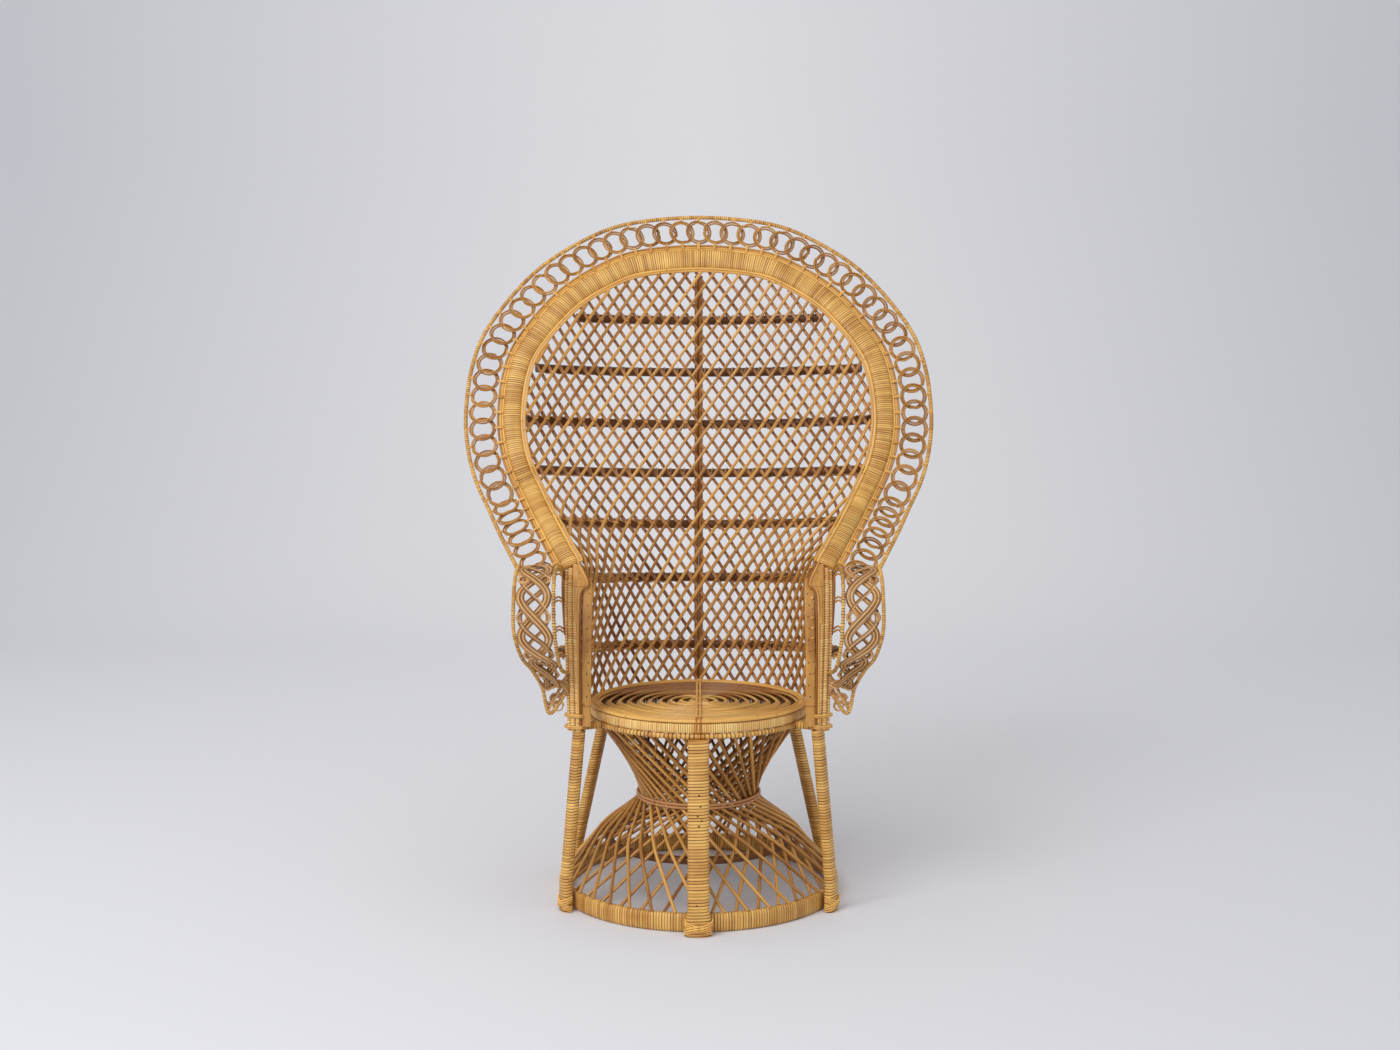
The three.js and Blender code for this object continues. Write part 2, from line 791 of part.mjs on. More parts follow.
const border_offset = border_rod_diameter / 2;
const border_pitch = border_rod_diameter + clearance;
const band_start = border_offset + border_pitch + border_rod_diameter / 2 + clearance;

function hoopPoint(share, out, face = 0) {
  const frame = hoopFrame(share);
  return frame.place.addScaledVector(frame.out, out).addScaledVector(frame.face, face);
}

const border_steps = 36;
const border_sides = 4;
const outer_border_sides = 5;

function hoopRod(name, out, diameter, sides) {
  const points = [];
  for (let i = 0; i <= border_steps; i += 1) {
    const share = i / border_steps;
    points.push(hoopPoint(share, out(share)));
  }
  add(name, rod(points, diameter, sides), rattan_light);
}

hoopRod('inner_border_rod_1', () => border_offset, border_rod_diameter, border_sides);
hoopRod('inner_border_rod_2', () => border_offset + border_pitch, border_rod_diameter, border_sides);

const band_frames = [];
for (let i = 0; i <= border_steps; i += 1) {
  const share = i / border_steps;
  const frame = hoopFrame(share);
  band_frames.push({
    place: frame.place.clone().addScaledVector(frame.out, band_start + bandWidth(share) / 2),
    across: frame.out,
    through: frame.face,
    wide: bandWidth(share) / band_side_width,
  });
}
const hoop_band_corner_power = 0.8;
const hoop_band_outline = ovalOutline(band_side_width, band_thickness, band_sides, hoop_band_corner_power);
add('hoop_band', strip(band_frames, hoop_band_outline), rattan_light);

function bandEnd(share) {
  return band_start + bandWidth(share) + clearance;
}

const outer_border_out = (share) => bandEnd(share) + outer_border_diameter / 2;
hoopRod('outer_border_rod', outer_border_out, outer_border_diameter, outer_border_sides);

// Halo: rings in two planes, the front ones carried by the rim and the rear ones by the rail
const rail_out = (share) => bandEnd(share) + outer_border_diameter + clearance + rail_diameter / 2;
const ring_tube_radius = ring_strand_diameter / 2;
const ring_radius = ring_diameter / 2;
const ring_out = (share) => rail_out(share) + rail_diameter / 2 + ring_tube_radius + ring_radius;
const rim_out = (share) => ring_out(share) + ring_radius + ring_tube_radius + rim_diameter / 2;
const ring_plane = ring_tube_radius + ring_layer_gap;
const ring_segments = 8;
const ring_strand_sides = 3;
const rim_sides = 5;
const rail_sides = 4;
const halo_start_share = 0.012;
const halo_steps = 120;
const halo_points = [];
for (let i = 0; i <= halo_steps; i += 1) {
  const share = THREE.MathUtils.lerp(halo_start_share, 1 - halo_start_share, i / halo_steps);
  halo_points.push(hoopPoint(share, ring_out(share)));
}
const halo_line = new THREE.CatmullRomCurve3(halo_points);
halo_line.arcLengthDivisions = halo_steps * 4;
const ring_count = Math.round(halo_line.getLength() / ring_pitch) + 1;

function ringShare(i) {
  const place = halo_line.getUtoTmapping(i / (ring_count - 1));
  return THREE.MathUtils.lerp(halo_start_share, 1 - halo_start_share, place);
}

function haloRing(i, shift, plane) {
  const share = ringShare(i);
  const frame = hoopFrame(share);
  const geometry = new THREE.TorusGeometry(ring_radius, ring_tube_radius, ring_strand_sides, ring_segments);
  const back = frame.along.clone().negate();
  const basis = new THREE.Matrix4().makeBasis(frame.out, back, frame.out.clone().cross(back));
  geometry.applyMatrix4(basis);
  const place = frame.place
    .addScaledVector(frame.out, ring_out(share) + shift)
    .addScaledVector(frame.face, plane);
  return geometry.translate(place.x, place.y, place.z);
}

// A rod that passes every ring of the halo, in the plane of the rings that it carries.
function haloRod(out, face, diameter, sides, first) {
  const points = [hoopPoint(0, out(0), face)];
  for (let i = first; i < ring_count; i += 2) points.push(hoopPoint(ringShare(i), out(ringShare(i)), face));
  points.push(hoopPoint(1, out(1), face));
  return rod(points, diameter, sides);
}

const front_rings = [];
const rear_rings = [];
for (let i = 0; i < ring_count; i += 1) {
  if (i % 2) rear_rings.push(haloRing(i, -ring_bite, -ring_plane));
  else front_rings.push(haloRing(i, ring_bite, ring_plane));
}
const rim = haloRod(rim_out, ring_plane, rim_diameter, rim_sides, 0);
const rail = haloRod(rail_out, -ring_plane, rail_diameter, rail_sides, 1);
add('halo_rings_front', joined([rim, ...front_rings]), rattan_light);
add('halo_rings_rear', joined([rail, ...rear_rings]), rattan_mid);

// Posts: two wrapped rods and a thin one on each side, from the side legs to the hoop's ends
const post_foot_height = leg_top_height + clearance;
const post_pitch = post_rod_diameter + 2 * corner_clearance;
const post_thin_place = post_pitch + (post_rod_diameter + post_thin_diameter) / 2 + clearance;

// The edge of the back at a true height, found between the crown and the foot.
function edgePoint(height) {
  let low = crown_row;
  let high = back_rows.length - 1;
  for (let i = 0; i < search_steps; i += 1) {
    const middle = (low + high) / 2;
    const row = rowAt(middle);
    if (backPoint(row, row[3]).z > height) low = middle;
    else high = middle;
  }
  const row = rowAt(high);
  return backPoint(row, row[3]);
}

function postPoint(side, place, height) {
  const point = edgePoint(height);
  point.x += post_offset_out + place * Math.cos(radians(post_line_angle));
  point.y += place * Math.sin(radians(post_line_angle));
  point.x *= side;
  return point;
}

const hoop_end = hoopFrame(1);
const post_cut_share = 0.7;

// The height at which a post meets the plane of the hoop's end.
function postTop(place, diameter) {
  let low = post_foot_height;
  let high = back_top_height;
  const reach = clearance + (diameter / 2) * post_cut_share;
  for (let i = 0; i < search_steps; i += 1) {
    const middle = (low + high) / 2;
    if (postPoint(1, place, middle).sub(hoop_end.place).dot(hoop_end.along) > reach) low = middle;
    else high = middle;
  }
  return low;
}

const post_steps = 5;
const post_sides = 6;

function post(name, side, place, diameter) {
  const top = postTop(place, diameter);
  const foot = postPoint(side, place, post_foot_height + diameter);
  const points = [new THREE.Vector3(foot.x, foot.y, post_foot_height)];
  for (let i = 0; i <= post_steps; i += 1) {
    points.push(postPoint(side, place, THREE.MathUtils.lerp(foot.z, top, i / post_steps)));
  }
  add(name, rod(points, diameter, post_sides), rattan_light);
}

// Flat panel in front of the lattice's edge, and a tie from the seat ring to the posts
const panel_steps = 6;
const flat_sides = 4;
const flat_corner_power = 0.2;

function panel(name, side) {
  const frames = [];
  for (let i = 0; i <= panel_steps; i += 1) {
    const height = THREE.MathUtils.lerp(apron_bottom_height, panel_top_height, i / panel_steps);
    const point = edgePoint(height);
    point.x = side * (point.x - panel_inset);
    point.y += panel_set_back;
    frames.push({ place: point, across: new THREE.Vector3(1, 0, 0), through: new THREE.Vector3(0, 1, 0) });
  }
  const outline = ovalOutline(panel_width, panel_thickness, flat_sides, flat_corner_power);
  add(name, strip(frames, outline), rattan_mid);
}

const tie_start = lower_rod_radius + seat_lower_rod_diameter / 2 + clearance;
const tie_sides = 8;
const tie_corner_power = 0.7;

function seatTie(name, side) {
  const angle = side * radians(leg_spacing_angle);
  const across = new THREE.Vector3(Math.cos(angle), Math.sin(angle), 0);
  const frames = [tie_start, tie_start + tie_length].map((radius) => ({
    place: polar(radius, angle, leg_top_height + clearance + tie_height / 2),
    across,
    through: new THREE.Vector3(0, 0, 1),
  }));
  add(name, strip(frames, ovalOutline(tie_width, tie_height, tie_sides, tie_corner_power)), rattan_light);
}

// Arms: rails over the top and down the rolled front, with waved lace between them.
// Each row holds the outer and inner half widths, the reach forward and the drop as shares.
const arm_rows_share = [
  [1, 1, 0.3, 0.03],
  [1, 1, 0.5, 0],
  [1, 1, 0.76, 0.08],
  [1, 0.995, 0.94, 0.31],
  [0.995, 0.985, 1, 0.62],
  [0.96, 0.97, 0.93, 0.88],
  [0.915, 0.955, 0.76, 1.04],
  [0.87, 0.945, 0.55, 1.27],
  [0.83, 0.935, 0.5, 1.56],
];
const arm_inner_half_width = postPoint(1, post_thin_place, arm_height - arm_drop_height).x
  + (post_thin_diameter + arm_rod_diameter) / 2 + arm_post_gap;
const arm_outer_half_width = arm_inner_half_width + arm_width;
const roll_end_row = 6;
const tip_row = 8;
const outer_rail_steps = 15;
const inner_rail_steps = 16;
const lower_rail_steps = 10;
const rail_rod_sides = 5;

function armPoint(side, index, rail) {
  const row = arm_rows_share[index];
  const half_width = rail ? row[1] * arm_inner_half_width : row[0] * arm_outer_half_width;
  return new THREE.Vector3(
    side * half_width,
    -arm_back_depth - row[2] * arm_length,
    arm_height - row[3] * arm_drop_height,
  );
}

function armRows(side, rail, first, last) {
  const points = [];
  for (let i = first; i <= last; i += 1) points.push(armPoint(side, i, rail));
  return points;
}

function armRod(name, points, steps, material) {
  const path = new THREE.CatmullRomCurve3(points, false, 'centripetal').getPoints(steps);
  add(name, rod(path, arm_rod_diameter, rail_rod_sides), material);
}

function hoopEnd(side, out, face, beyond) {
  const point = hoopPoint(1, out(1), face).addScaledVector(hoop_end.along, beyond);
  point.x *= side;
  return point;
}

function postFront(side, height) {
  const point = postPoint(side, post_thin_place, height);
  point.y -= (post_thin_diameter + arm_rod_diameter) / 2 + corner_clearance;
  return point;
}

function armRails(name, side) {
  const beyond = arm_rod_diameter / 2 + rail_end_clearance;
  const outer = [hoopEnd(side, rim_out, ring_plane, beyond), ...armRows(side, 0, 0, roll_end_row)];
  const inner = [
    hoopEnd(side, outer_border_out, 0, beyond),
    ...armRows(side, 1, 0, roll_end_row),
    postFront(side, inner_rail_end_height),
  ];
  const lower = [...armRows(side, 0, roll_end_row, tip_row), postFront(side, lower_rail_end_height)];
  const start = lower[1].clone().sub(lower[0]).normalize();
  lower[0].addScaledVector(start, rail_start_clearance);
  armRod(`arm_outer_rail_${name}`, outer, outer_rail_steps, rattan_light);
  armRod(`arm_inner_rail_${name}`, inner, inner_rail_steps, rattan_mid);
  armRod(`arm_lower_rail_${name}`, lower, lower_rail_steps, rattan_mid);
}

const lace_steps = 22;
const lace_edge = (arm_rod_diameter + lace_width) / 2 + lace_clearance;

function armLace(name, side, phase, layer) {
  const outer = new THREE.CatmullRomCurve3(armRows(side, 0, 0, tip_row - 1), false, 'centripetal');
  const inner = new THREE.CatmullRomCurve3(armRows(side, 1, 0, tip_row - 1), false, 'centripetal');
  const places = [];
  for (let i = 0; i <= lace_steps; i += 1) {
    const share = i / lace_steps;
    const from = outer.getPoint(share);
    const to = inner.getPoint(share);
    const inward = to.clone().sub(from);
    const along = outer.getTangent(share);
    const through = along.clone().cross(inward).normalize().multiplyScalar(side);
    const room = Math.max(inward.length() / 2 - lace_edge, 0);
    const swing = phase * Math.cos(share * lace_wave_count * Math.PI) * room;
    const place = from.lerp(to, 0.5).addScaledVector(inward.normalize(), swing);
    places.push({ place: place.addScaledVector(through, layer), through });
  }
  const frames = places.map(({ place, through }, i) => {
    const next = places[Math.min(i + 1, places.length - 1)].place;
    const last = places[Math.max(i - 1, 0)].place;
    const along = next.clone().sub(last).normalize();
    return { place, across: along.cross(through).normalize(), through };
  });
  const outline = ovalOutline(lace_width, lace_thickness, flat_sides, flat_corner_power);
  add(name, strip(frames, outline), rattan_mid);
}

const lace_layer = (lace_thickness + lace_layer_gap) / 2;
for (const [name, side] of [['left', -1], ['right', 1]]) {
  post(`post_inner_${name}`, side, 0, post_rod_diameter);
  post(`post_outer_${name}`, side, post_pitch, post_rod_diameter);
  post(`post_thin_${name}`, side, post_thin_place, post_thin_diameter);
  panel(`post_panel_${name}`, side);
  seatTie(`seat_tie_${name}`, side);
  armRails(name, side);
  armLace(`arm_lace_top_${name}`, side, 1, lace_layer);
  armLace(`arm_lace_under_${name}`, side, -1, -lace_layer);
}

const box = new THREE.Box3().setFromObject(chair);
chair.position.set(0, -box.getCenter(new THREE.Vector3()).y, 0);

export default chair;
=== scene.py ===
# A peacock chair of natural rattan, in metres, with the sitter facing -Y.
# The sections follow the chair as it is put together: the hoop on the floor, the legs and
# the twisted base, the seat, the lattice back, its hoop and rings, the posts and the arms.

import math
from bisect import bisect_left
from random import Random

import bmesh
import bpy
from mathutils import Matrix, Vector


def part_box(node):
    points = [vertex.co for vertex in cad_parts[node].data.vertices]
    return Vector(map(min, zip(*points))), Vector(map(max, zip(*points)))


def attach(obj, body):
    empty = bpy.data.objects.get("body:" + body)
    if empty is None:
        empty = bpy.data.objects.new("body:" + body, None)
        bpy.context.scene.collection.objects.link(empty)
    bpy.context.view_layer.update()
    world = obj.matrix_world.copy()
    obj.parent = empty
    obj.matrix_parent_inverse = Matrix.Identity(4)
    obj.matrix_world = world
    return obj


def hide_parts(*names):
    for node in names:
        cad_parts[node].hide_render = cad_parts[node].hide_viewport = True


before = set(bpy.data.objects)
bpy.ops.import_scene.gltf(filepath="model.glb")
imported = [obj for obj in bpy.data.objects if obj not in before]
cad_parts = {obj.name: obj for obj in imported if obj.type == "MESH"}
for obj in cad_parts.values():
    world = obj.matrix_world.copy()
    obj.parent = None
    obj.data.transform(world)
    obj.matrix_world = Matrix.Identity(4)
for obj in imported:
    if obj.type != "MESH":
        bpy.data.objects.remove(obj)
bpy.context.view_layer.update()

# The studio: a pale sweep of paper, a wide soft lamp from the front left and a soft sky.
# The camera stands in front of the seat at chest height and looks slightly down.
hoop_low, hoop_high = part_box("base_hoop")
seat_y = (hoop_low.y + hoop_high.y) / 2
camera_distance = 3.4
camera_height = 1.063
camera_tilt = 0.0842
camera_side = 0.0031
photo_width_px = 1400
focal_px = 1627
film_width_mm = 36
bpy.ops.object.camera_add(
    location=(camera_side, seat_y - camera_distance, camera_height),
    rotation=(math.pi / 2 - camera_tilt, 0, 0),
)
camera = bpy.context.object
camera.data.sensor_width = film_width_mm
camera.data.lens = focal_px / photo_width_px * film_width_mm
bpy.context.scene.camera = camera
bpy.context.scene.view_settings.view_transform = "Standard"


def linear(red, green, blue):
    """A colour as a screen shows it, from 0 to 255, as the shader counts it."""
    shares = [value / 255 for value in (red, green, blue)]
    return (*[s / 12.92 if s < 0.04045 else ((s + 0.055) / 1.055) ** 2.4 for s in shares], 1)


class Grain:
    """A shader socket that can be written in sums, and that makes the next node."""

    def __init__(self, tree, socket=None):
        self.tree = tree
        self.socket = socket

    def node(self, kind, settings=None, entries=None, output=0):
        made = self.tree.nodes.new(kind)
        for name, value in (settings or {}).items():
            setattr(made, name, value)
        for name, value in (entries or {}).items():
            if isinstance(value, Grain):
                self.tree.links.new(value.socket, made.inputs[name])
            else:
                made.inputs[name].default_value = value
        return Grain(self.tree, made.outputs[output] if made.outputs else None)

    def worked(self, operation, one, other=0.0):
        return self.node("ShaderNodeMath", {"operation": operation}, {0: one, 1: other})

    def __add__(self, other):
        return self.worked("ADD", self, other)

    __radd__ = __add__

    def __mul__(self, other):
        return self.worked("MULTIPLY", self, other)

    __rmul__ = __mul__

    def __sub__(self, other):
        return self.worked("SUBTRACT", self, other)

    def __rsub__(self, other):
        return self.worked("SUBTRACT", other, self)

    def part(self):
        return self.worked("FRACT", self)

    def whole(self):
        return self.worked("FLOOR", self)

    def size(self):
        return self.worked("ABSOLUTE", self)

    def limited(self):
        return self.node("ShaderNodeClamp", None, {"Value": self})

    def axis(self, number):
        """One number of a vector, from 0 for its X to 2 for its Z."""
        return self.node("ShaderNodeSeparateXYZ", None, {0: self}, number)

    def place(self):
        return self.node("ShaderNodeTexCoord", None, None, 3)

    def noise(self, scale, detail):
        entries = {"Vector": self, "Scale": scale, "Detail": detail}
        return self.node("ShaderNodeTexNoise", None, entries)

    def streaks(self, x, y, z, detail):
        """Noise that is stretched by what each axis was multiplied with."""
        return self.node("ShaderNodeCombineXYZ", None, {0: x, 1: y, 2: z}).noise(1.0, detail)

    def lot(self):
        """A random number of its own for each number."""
        return self.node("ShaderNodeTexWhiteNoise", {"noise_dimensions": "1D"}, {"W": self})

    def between(self, dark, light):
        """The colour at this share of the way from dark to light."""
        return self.node("ShaderNodeMix", {"data_type": "RGBA"}, {0: self, 6: dark, 7: light}, 2)

    def shown(self):
        self.node("ShaderNodeOutputMaterial", None, {"Surface": self})


def new_finish(name):
    finish = bpy.data.materials.new(name)
    finish.use_nodes = True
    finish.node_tree.nodes.clear()
    return finish, Grain(finish.node_tree)


# The paper's colour holds a painted pool of light: lighter in the middle and towards the back, with
# a faint cloudy change.
paper_shade = linear(223, 224, 230)
paper_light = linear(249, 249, 252)
paper_fall_aside = 0.27
paper_rise_back = 0.2
paper_glow_front = 0.14
paper, grain = new_finish("studio_paper")
paper_place = grain.place()
glow_aside = (1 - paper_place.axis(0).size() * paper_fall_aside).limited()
glow_back = (paper_place.axis(1) * paper_rise_back + paper_glow_front).limited()
glow = (glow_aside * glow_back * 0.9 + paper_place.noise(0.3, 1.0) * 0.12).limited()
grain.node("ShaderNodeBsdfDiffuse", None, {"Color": glow.between(paper_shade, paper_light)}).shown()

sweep_half_width = 9.0
sweep_front = -7.0
sweep_back = 3.2
sweep_bend = 2.4
sweep_height = 6.0
sweep_steps = 24
sweep_line = [(sweep_front, 0.0), (sweep_back, 0.0)]
for i in range(1, sweep_steps + 1):
    turn = i / sweep_steps * math.pi / 2
    sweep_line.append((sweep_back + sweep_bend * math.sin(turn), sweep_bend * (1 - math.cos(turn))))
sweep_line.append((sweep_back + sweep_bend, sweep_height))
sweep_mesh = bpy.data.meshes.new("studio_sweep")
sweep_mesh.from_pydata(
    [(side * sweep_half_width, y, z) for y, z in sweep_line for side in (-1, 1)],
    [],
    [(2 * i, 2 * i + 1, 2 * i + 3, 2 * i + 2) for i in range(len(sweep_line) - 1)],
)
sweep_mesh.materials.append(paper)
sweep = bpy.data.objects.new("studio_sweep", sweep_mesh)
bpy.context.scene.collection.objects.link(sweep)
sweep_mesh.shade_smooth()

lamp_place = (-2.2, -3.0, 3.6)
lamp_aim = Vector((0, 0, 0.6))
lamp_power = 108
lamp_width = 2.6
bpy.ops.object.light_add(type="AREA", location=lamp_place)
lamp = bpy.context.object
lamp.data.energy = lamp_power
lamp.data.size = lamp_width
lamp.rotation_euler = (lamp_aim - lamp.location).to_track_quat("-Z", "Y").to_euler()
sky_strength = 0.66
sky = bpy.data.worlds.new("studio_sky")
sky.use_nodes = True
bpy.context.scene.world = sky
sky.node_tree.nodes["Background"].inputs["Color"].default_value = (1, 1, 1, 1)
sky.node_tree.nodes["Background"].inputs["Strength"].default_value = sky_strength

# The base hoop: a flat hoop that stands on the floor and carries the twisted strands. It
# is wound all round with a flat strip of split cane, turn beside turn. The turns differ a
# little in tone, and the grooves between them are darkened with painted shade.
base_hoop_radius = 0.288
base_hoop_height = 0.038
base_hoop_thickness = 0.017
base_turn = 0.0056
base_turns = round(math.tau * base_hoop_radius / base_turn)
ridge = 0.0008
quarter_ridges = (0.0, 0.8, 1.0, 0.8)
light_dark = linear(176, 108, 34)
light_light = linear(255, 207, 116)
# The colour below is painted shade for the grooves between the turns.
painted_groove_shade = linear(82, 44, 14)
wrap_gloss = 0.35
wrap_depth = 0.0005
wrap_stain_scale = 16.0
lacquer_ior = 1.45


def lacquered(grain, colour, rough, height, strength, depth):
    bump = grain.node("ShaderNodeBump", None, {
        "Height": height, "Strength": strength, "Distance": depth,
    })
    grain.node("ShaderNodeBsdfPrincipled", None, {
        "Base Color": colour, "Roughness": rough, "Normal": bump, "IOR": lacquer_ior,
    }).shown()


def wrap_finish(name, turn, dark, light, groove_shade):
    """Split cane whose turns lie one turn's width apart along the piece.
    Painted shade darkens the grooves between the turns.
    """
    finish, grain = new_finish(name)
    course = grain.node("ShaderNodeUVMap", {"uv_map": "UVMap"})
    along, around = course.axis(0), course.axis(1)
    turns = along * (1 / turn) + 0.5
    fibre = grain.streaks(along * 1500, around * 30, 0.0, 2.0)
    stain = grain.place().noise(wrap_stain_scale, 3.0)
    # depth and edge paint shade into the grooves between turns, deeper on some turns than others.
    depth = ((turns + 0.5).whole() * 1.7 + 0.3).lot() * 0.5 + 0.5
    edge = (((turns.part() - 0.5).size() * 2 - 0.5) * 2.6).limited() * depth
    share = (turns.whole().lot() * 0.4 + fibre * 0.5 + stain * 1.1 - 0.45).limited()
    colour = edge.between(share.between(dark, light), groove_shade)
    lacquered(grain, colour, stain * 0.2 + wrap_gloss, fibre * 0.2 - edge * 0.8, 0.5, wrap_depth)
    return finish


def note_tone(piece, tone):
    mark = piece.data.attributes.new("tone", "FLOAT", "POINT")
    mark.data.foreach_set("value", [tone] * len(piece.data.vertices))


def course_of(points):
    """How far along a run of points each of them lies."""
    course = [0.0]
    for one, other in zip(points, points[1:]):
        course.append(course[-1] + (other - one).length)
    return course


def evenly(first, last, steps):
    """Numbers from first to last, in even steps."""
    return [first + (last - first) * i / steps for i in range(steps + 1)]


def once_round(steps, start=0.0):
    """The angles of even steps once round."""
    return [(i + start) / steps * math.tau for i in range(steps)]


def blend(one, other, share):
    return one + (other - one) * share


def point_on(course, here):
    """The number of the next point after a place on a course, and the share of its step."""
    after = min(max(bisect_left(course, here), 1), len(course) - 1)
    return after, (here - course[after - 1]) / (course[after] - course[after - 1])


def skin(rows, closed=False, tone=0.5, lift=0.0):
    """A skin stretched over rows of points. lift shifts the course mark along each row."""
    around = len(rows[0])
    middles = [sum(row, Vector()) / around for row in rows]
    course = course_of([*middles, middles[0]])
    widths = course_of([*rows[0], rows[0][0]])
    faces = []
    marks = []
    last = len(rows) if closed else len(rows) - 1
    for i in range(last):
        for j in range(around):
            k = (j + 1) % around
            n = (i + 1) % len(rows)
            faces.append((i * around + j, i * around + k, n * around + k, n * around + j))
            for across, along in ((j, i), (j + 1, i), (j + 1, i + 1), (j, i + 1)):
                marks.append((course[along] + lift * across / around, widths[across]))
    if not closed:
        faces.append(tuple(range(around - 1, -1, -1)))
        faces.append(tuple(range((len(rows) - 1) * around, len(rows) * around)))
        marks += [(0.0, widths[j]) for j in range(around - 1, -1, -1)]
        marks += [(course[last], widths[j]) for j in range(around)]
    mesh = bpy.data.meshes.new("skin")
    mesh.from_pydata([tuple(point) for row in rows for point in row], [], faces)
    layer = mesh.uv_layers.new(name="UVMap")
    layer.data.foreach_set("uv", [value for mark in marks for value in mark])
    piece = bpy.data.objects.new("skin", mesh)
    bpy.context.scene.collection.objects.link(piece)
    work = bmesh.new()
    work.from_mesh(mesh)
    bmesh.ops.recalc_face_normals(work, faces=work.faces)
    work.to_mesh(mesh)
    work.free()
    note_tone(piece, tone)
    return piece


def deselect():
    for chosen in bpy.context.selected_objects:
        chosen.select_set(False)


def finish_piece(canes, name, finish, nodes, smooth_angle=50):
    """Joins the canes of one piece, gives them their finish and puts them for their nodes."""
    deselect()
    for cane in canes:
        cane.select_set(True)
    piece = canes[0]
    bpy.context.view_layer.objects.active = piece
    if len(canes) > 1:
        bpy.ops.object.join()
    piece.name = name
    piece.data.name = name
    piece.data.materials.clear()
    piece.data.materials.append(finish)
    bpy.ops.object.shade_smooth_by_angle(angle=math.radians(smooth_angle))
    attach(piece, "root")
    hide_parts(*nodes)


def squared(value, power):
    """A sine or cosine drawn out towards the corners of a box."""
    return math.copysign(abs(value) ** power, value)


def oval(width, thickness, sides, square):
    """The outline of a box that is rounded the more, the nearer square is to 1."""
    x, y = width / 2, thickness / 2
    return [
        (squared(math.cos(turn), square) * x, squared(math.sin(turn), square) * y)
        for turn in once_round(sides, 0.5)
    ]


def polar(radius, angle, height):
    return Vector((radius * math.sin(angle), seat_y - radius * math.cos(angle), height))


def dip(row):
    """How far a row of a winding lies in from the ridges of its turns, as less than 0."""
    return (quarter_ridges[row % 4] - 1) * ridge


def wound_ring(radius, low, height, thickness, turns, square, sides=14):
    """A ring round the seat's axis, wound with as many turns as are given."""
    rows = []
    for i, angle in enumerate(once_round(turns * 4)):
        wide, tall = 1 + dip(i) * 2 / thickness, 1 + dip(i) * 2 / height
        rows.append([
            polar(radius + x * wide, angle, low + height / 2 + z * tall)
            for x, z in oval(thickness, height, sides, square)
        ])
    return skin(rows, closed=True)


wrap_base = wrap_finish("wrap_base", base_turn, light_dark, light_light, painted_groove_shade)
base_ring = wound_ring(
    base_hoop_radius, 0, base_hoop_height, base_hoop_thickness, base_turns, 0.6,
)
finish_piece([base_ring], "wound_base_hoop", wrap_base, ["base_hoop"])

# Six legs: each is two poles side by side, wound together with split cane, with a crossed
# lashing of bare thin cane at the foot that ties it to the base hoop. Bare cane is skinned
# and polished, with fibres along it and a joint every hand or so.
front_leg_section = (0.043, 0.024)
slim_leg_section = (0.03, 0.0225)
leg_foot_swell = 0.0032
leg_foot_fade = 0.014
leg_foot_radius = 0.3121
leg_upright_height = 0.0505
leg_top_height = 0.3689
leg_top_radius = 0.2315
side_leg_top_radius = 0.2801
leg_turns = round(leg_top_height / 0.006)
leg_turn = leg_top_height / leg_turns
leg_sides = 24
leg_square = 0.72
pole_groove = 0.0013
pole_groove_share = 0.16
lashing_cane = 0.0031
lashing_steps = 20
lashing_sweep = 200
lashing_low = 0.0065
lashing_rise = 0.022
lashing_pitch = 0.0046
lashing_square = 0.75
lashing_lift = 0.0014
lashing_floor_gap = 0.002
leg_nail_radius = 0.0019
leg_nail_lift = 0.0001
leg_nail_places = (
    (0.0014, 0.267), (0.004, 0.246), (-0.0014, 0.228),
    (0.006, 0.219), (0.0008, 0.209), (-0.003, 0.062),
)
cane_gloss = 0.32
cane_depth = 0.0006
joint_pitch = 0.27
joint_half = 0.0022


def cane_finish(name, dark, light, joint, rear_shade=0.0):
    """Bare cane. rear_shade darkens the canes behind the seat's middle."""
    finish, grain = new_finish(name)
    course = grain.node("ShaderNodeUVMap", {"uv_map": "UVMap"})
    along, around = course.axis(0), course.axis(1)
    tone = grain.node("ShaderNodeAttribute", {"attribute_name": "tone"}, None, 2)
    fibre = grain.streaks(along * 14, around * 900, tone * 60, 3.0)
    stain = grain.streaks(along * 11, around * 35, tone * 90 + 7, 2.0)
    from_joint = ((along * (1 / joint_pitch) + tone * 13).part() - 0.5).size() - 0.5
    near_joint = (1 - from_joint.size() * (joint_pitch / joint_half)).limited()
    share = tone * 0.6 + fibre * 0.85 + stain - 0.74
    if rear_shade:
        behind = grain.place().axis(1) - seat_y
        share = share - (behind * 7 + 0.1).limited() * rear_shade
    colour = (near_joint * 0.65).between(share.limited().between(dark, light), joint)
    height = fibre * 0.25 + near_joint * 0.8
    lacquered(grain, colour, stain * 0.22 + cane_gloss, height, 0.35, cane_depth)
    return finish


def lay_cane(run, thickness, closed=False, faces=2, tone=0.5):
    """One cane along a run of points: a path with a round bevel, turned into a mesh."""
    deselect()
    bpy.ops.curve.primitive_nurbs_path_add(location=(0, 0, 0))
    cane = bpy.context.object
    path = cane.data
    path.splines.clear()
    course = path.splines.new("POLY")
    course.points.add(len(run) - 1)
    course.points.foreach_set("co", [value for point in run for value in (*point, 1)])
    course.use_cyclic_u = closed
    path.bevel_depth = thickness / 2
    path.bevel_resolution = faces
    path.use_fill_caps = not closed
    bpy.ops.object.convert(target="MESH")
    mesh = cane.data
    work = bmesh.new()
    work.from_mesh(mesh)
    bmesh.ops.remove_doubles(work, verts=work.verts, dist=thickness / 500)
    work.to_mesh(mesh)
    work.free()
    length = course_of([*run, run[0]] if closed else run)[-1]
    for corner in mesh.uv_layers[0].data:
        corner.uv = (corner.uv[0] * length, corner.uv[1] * math.pi * thickness)
    note_tone(cane, tone)
    return cane


def sideways(angle):
    return Vector((math.cos(angle), math.sin(angle), 0))


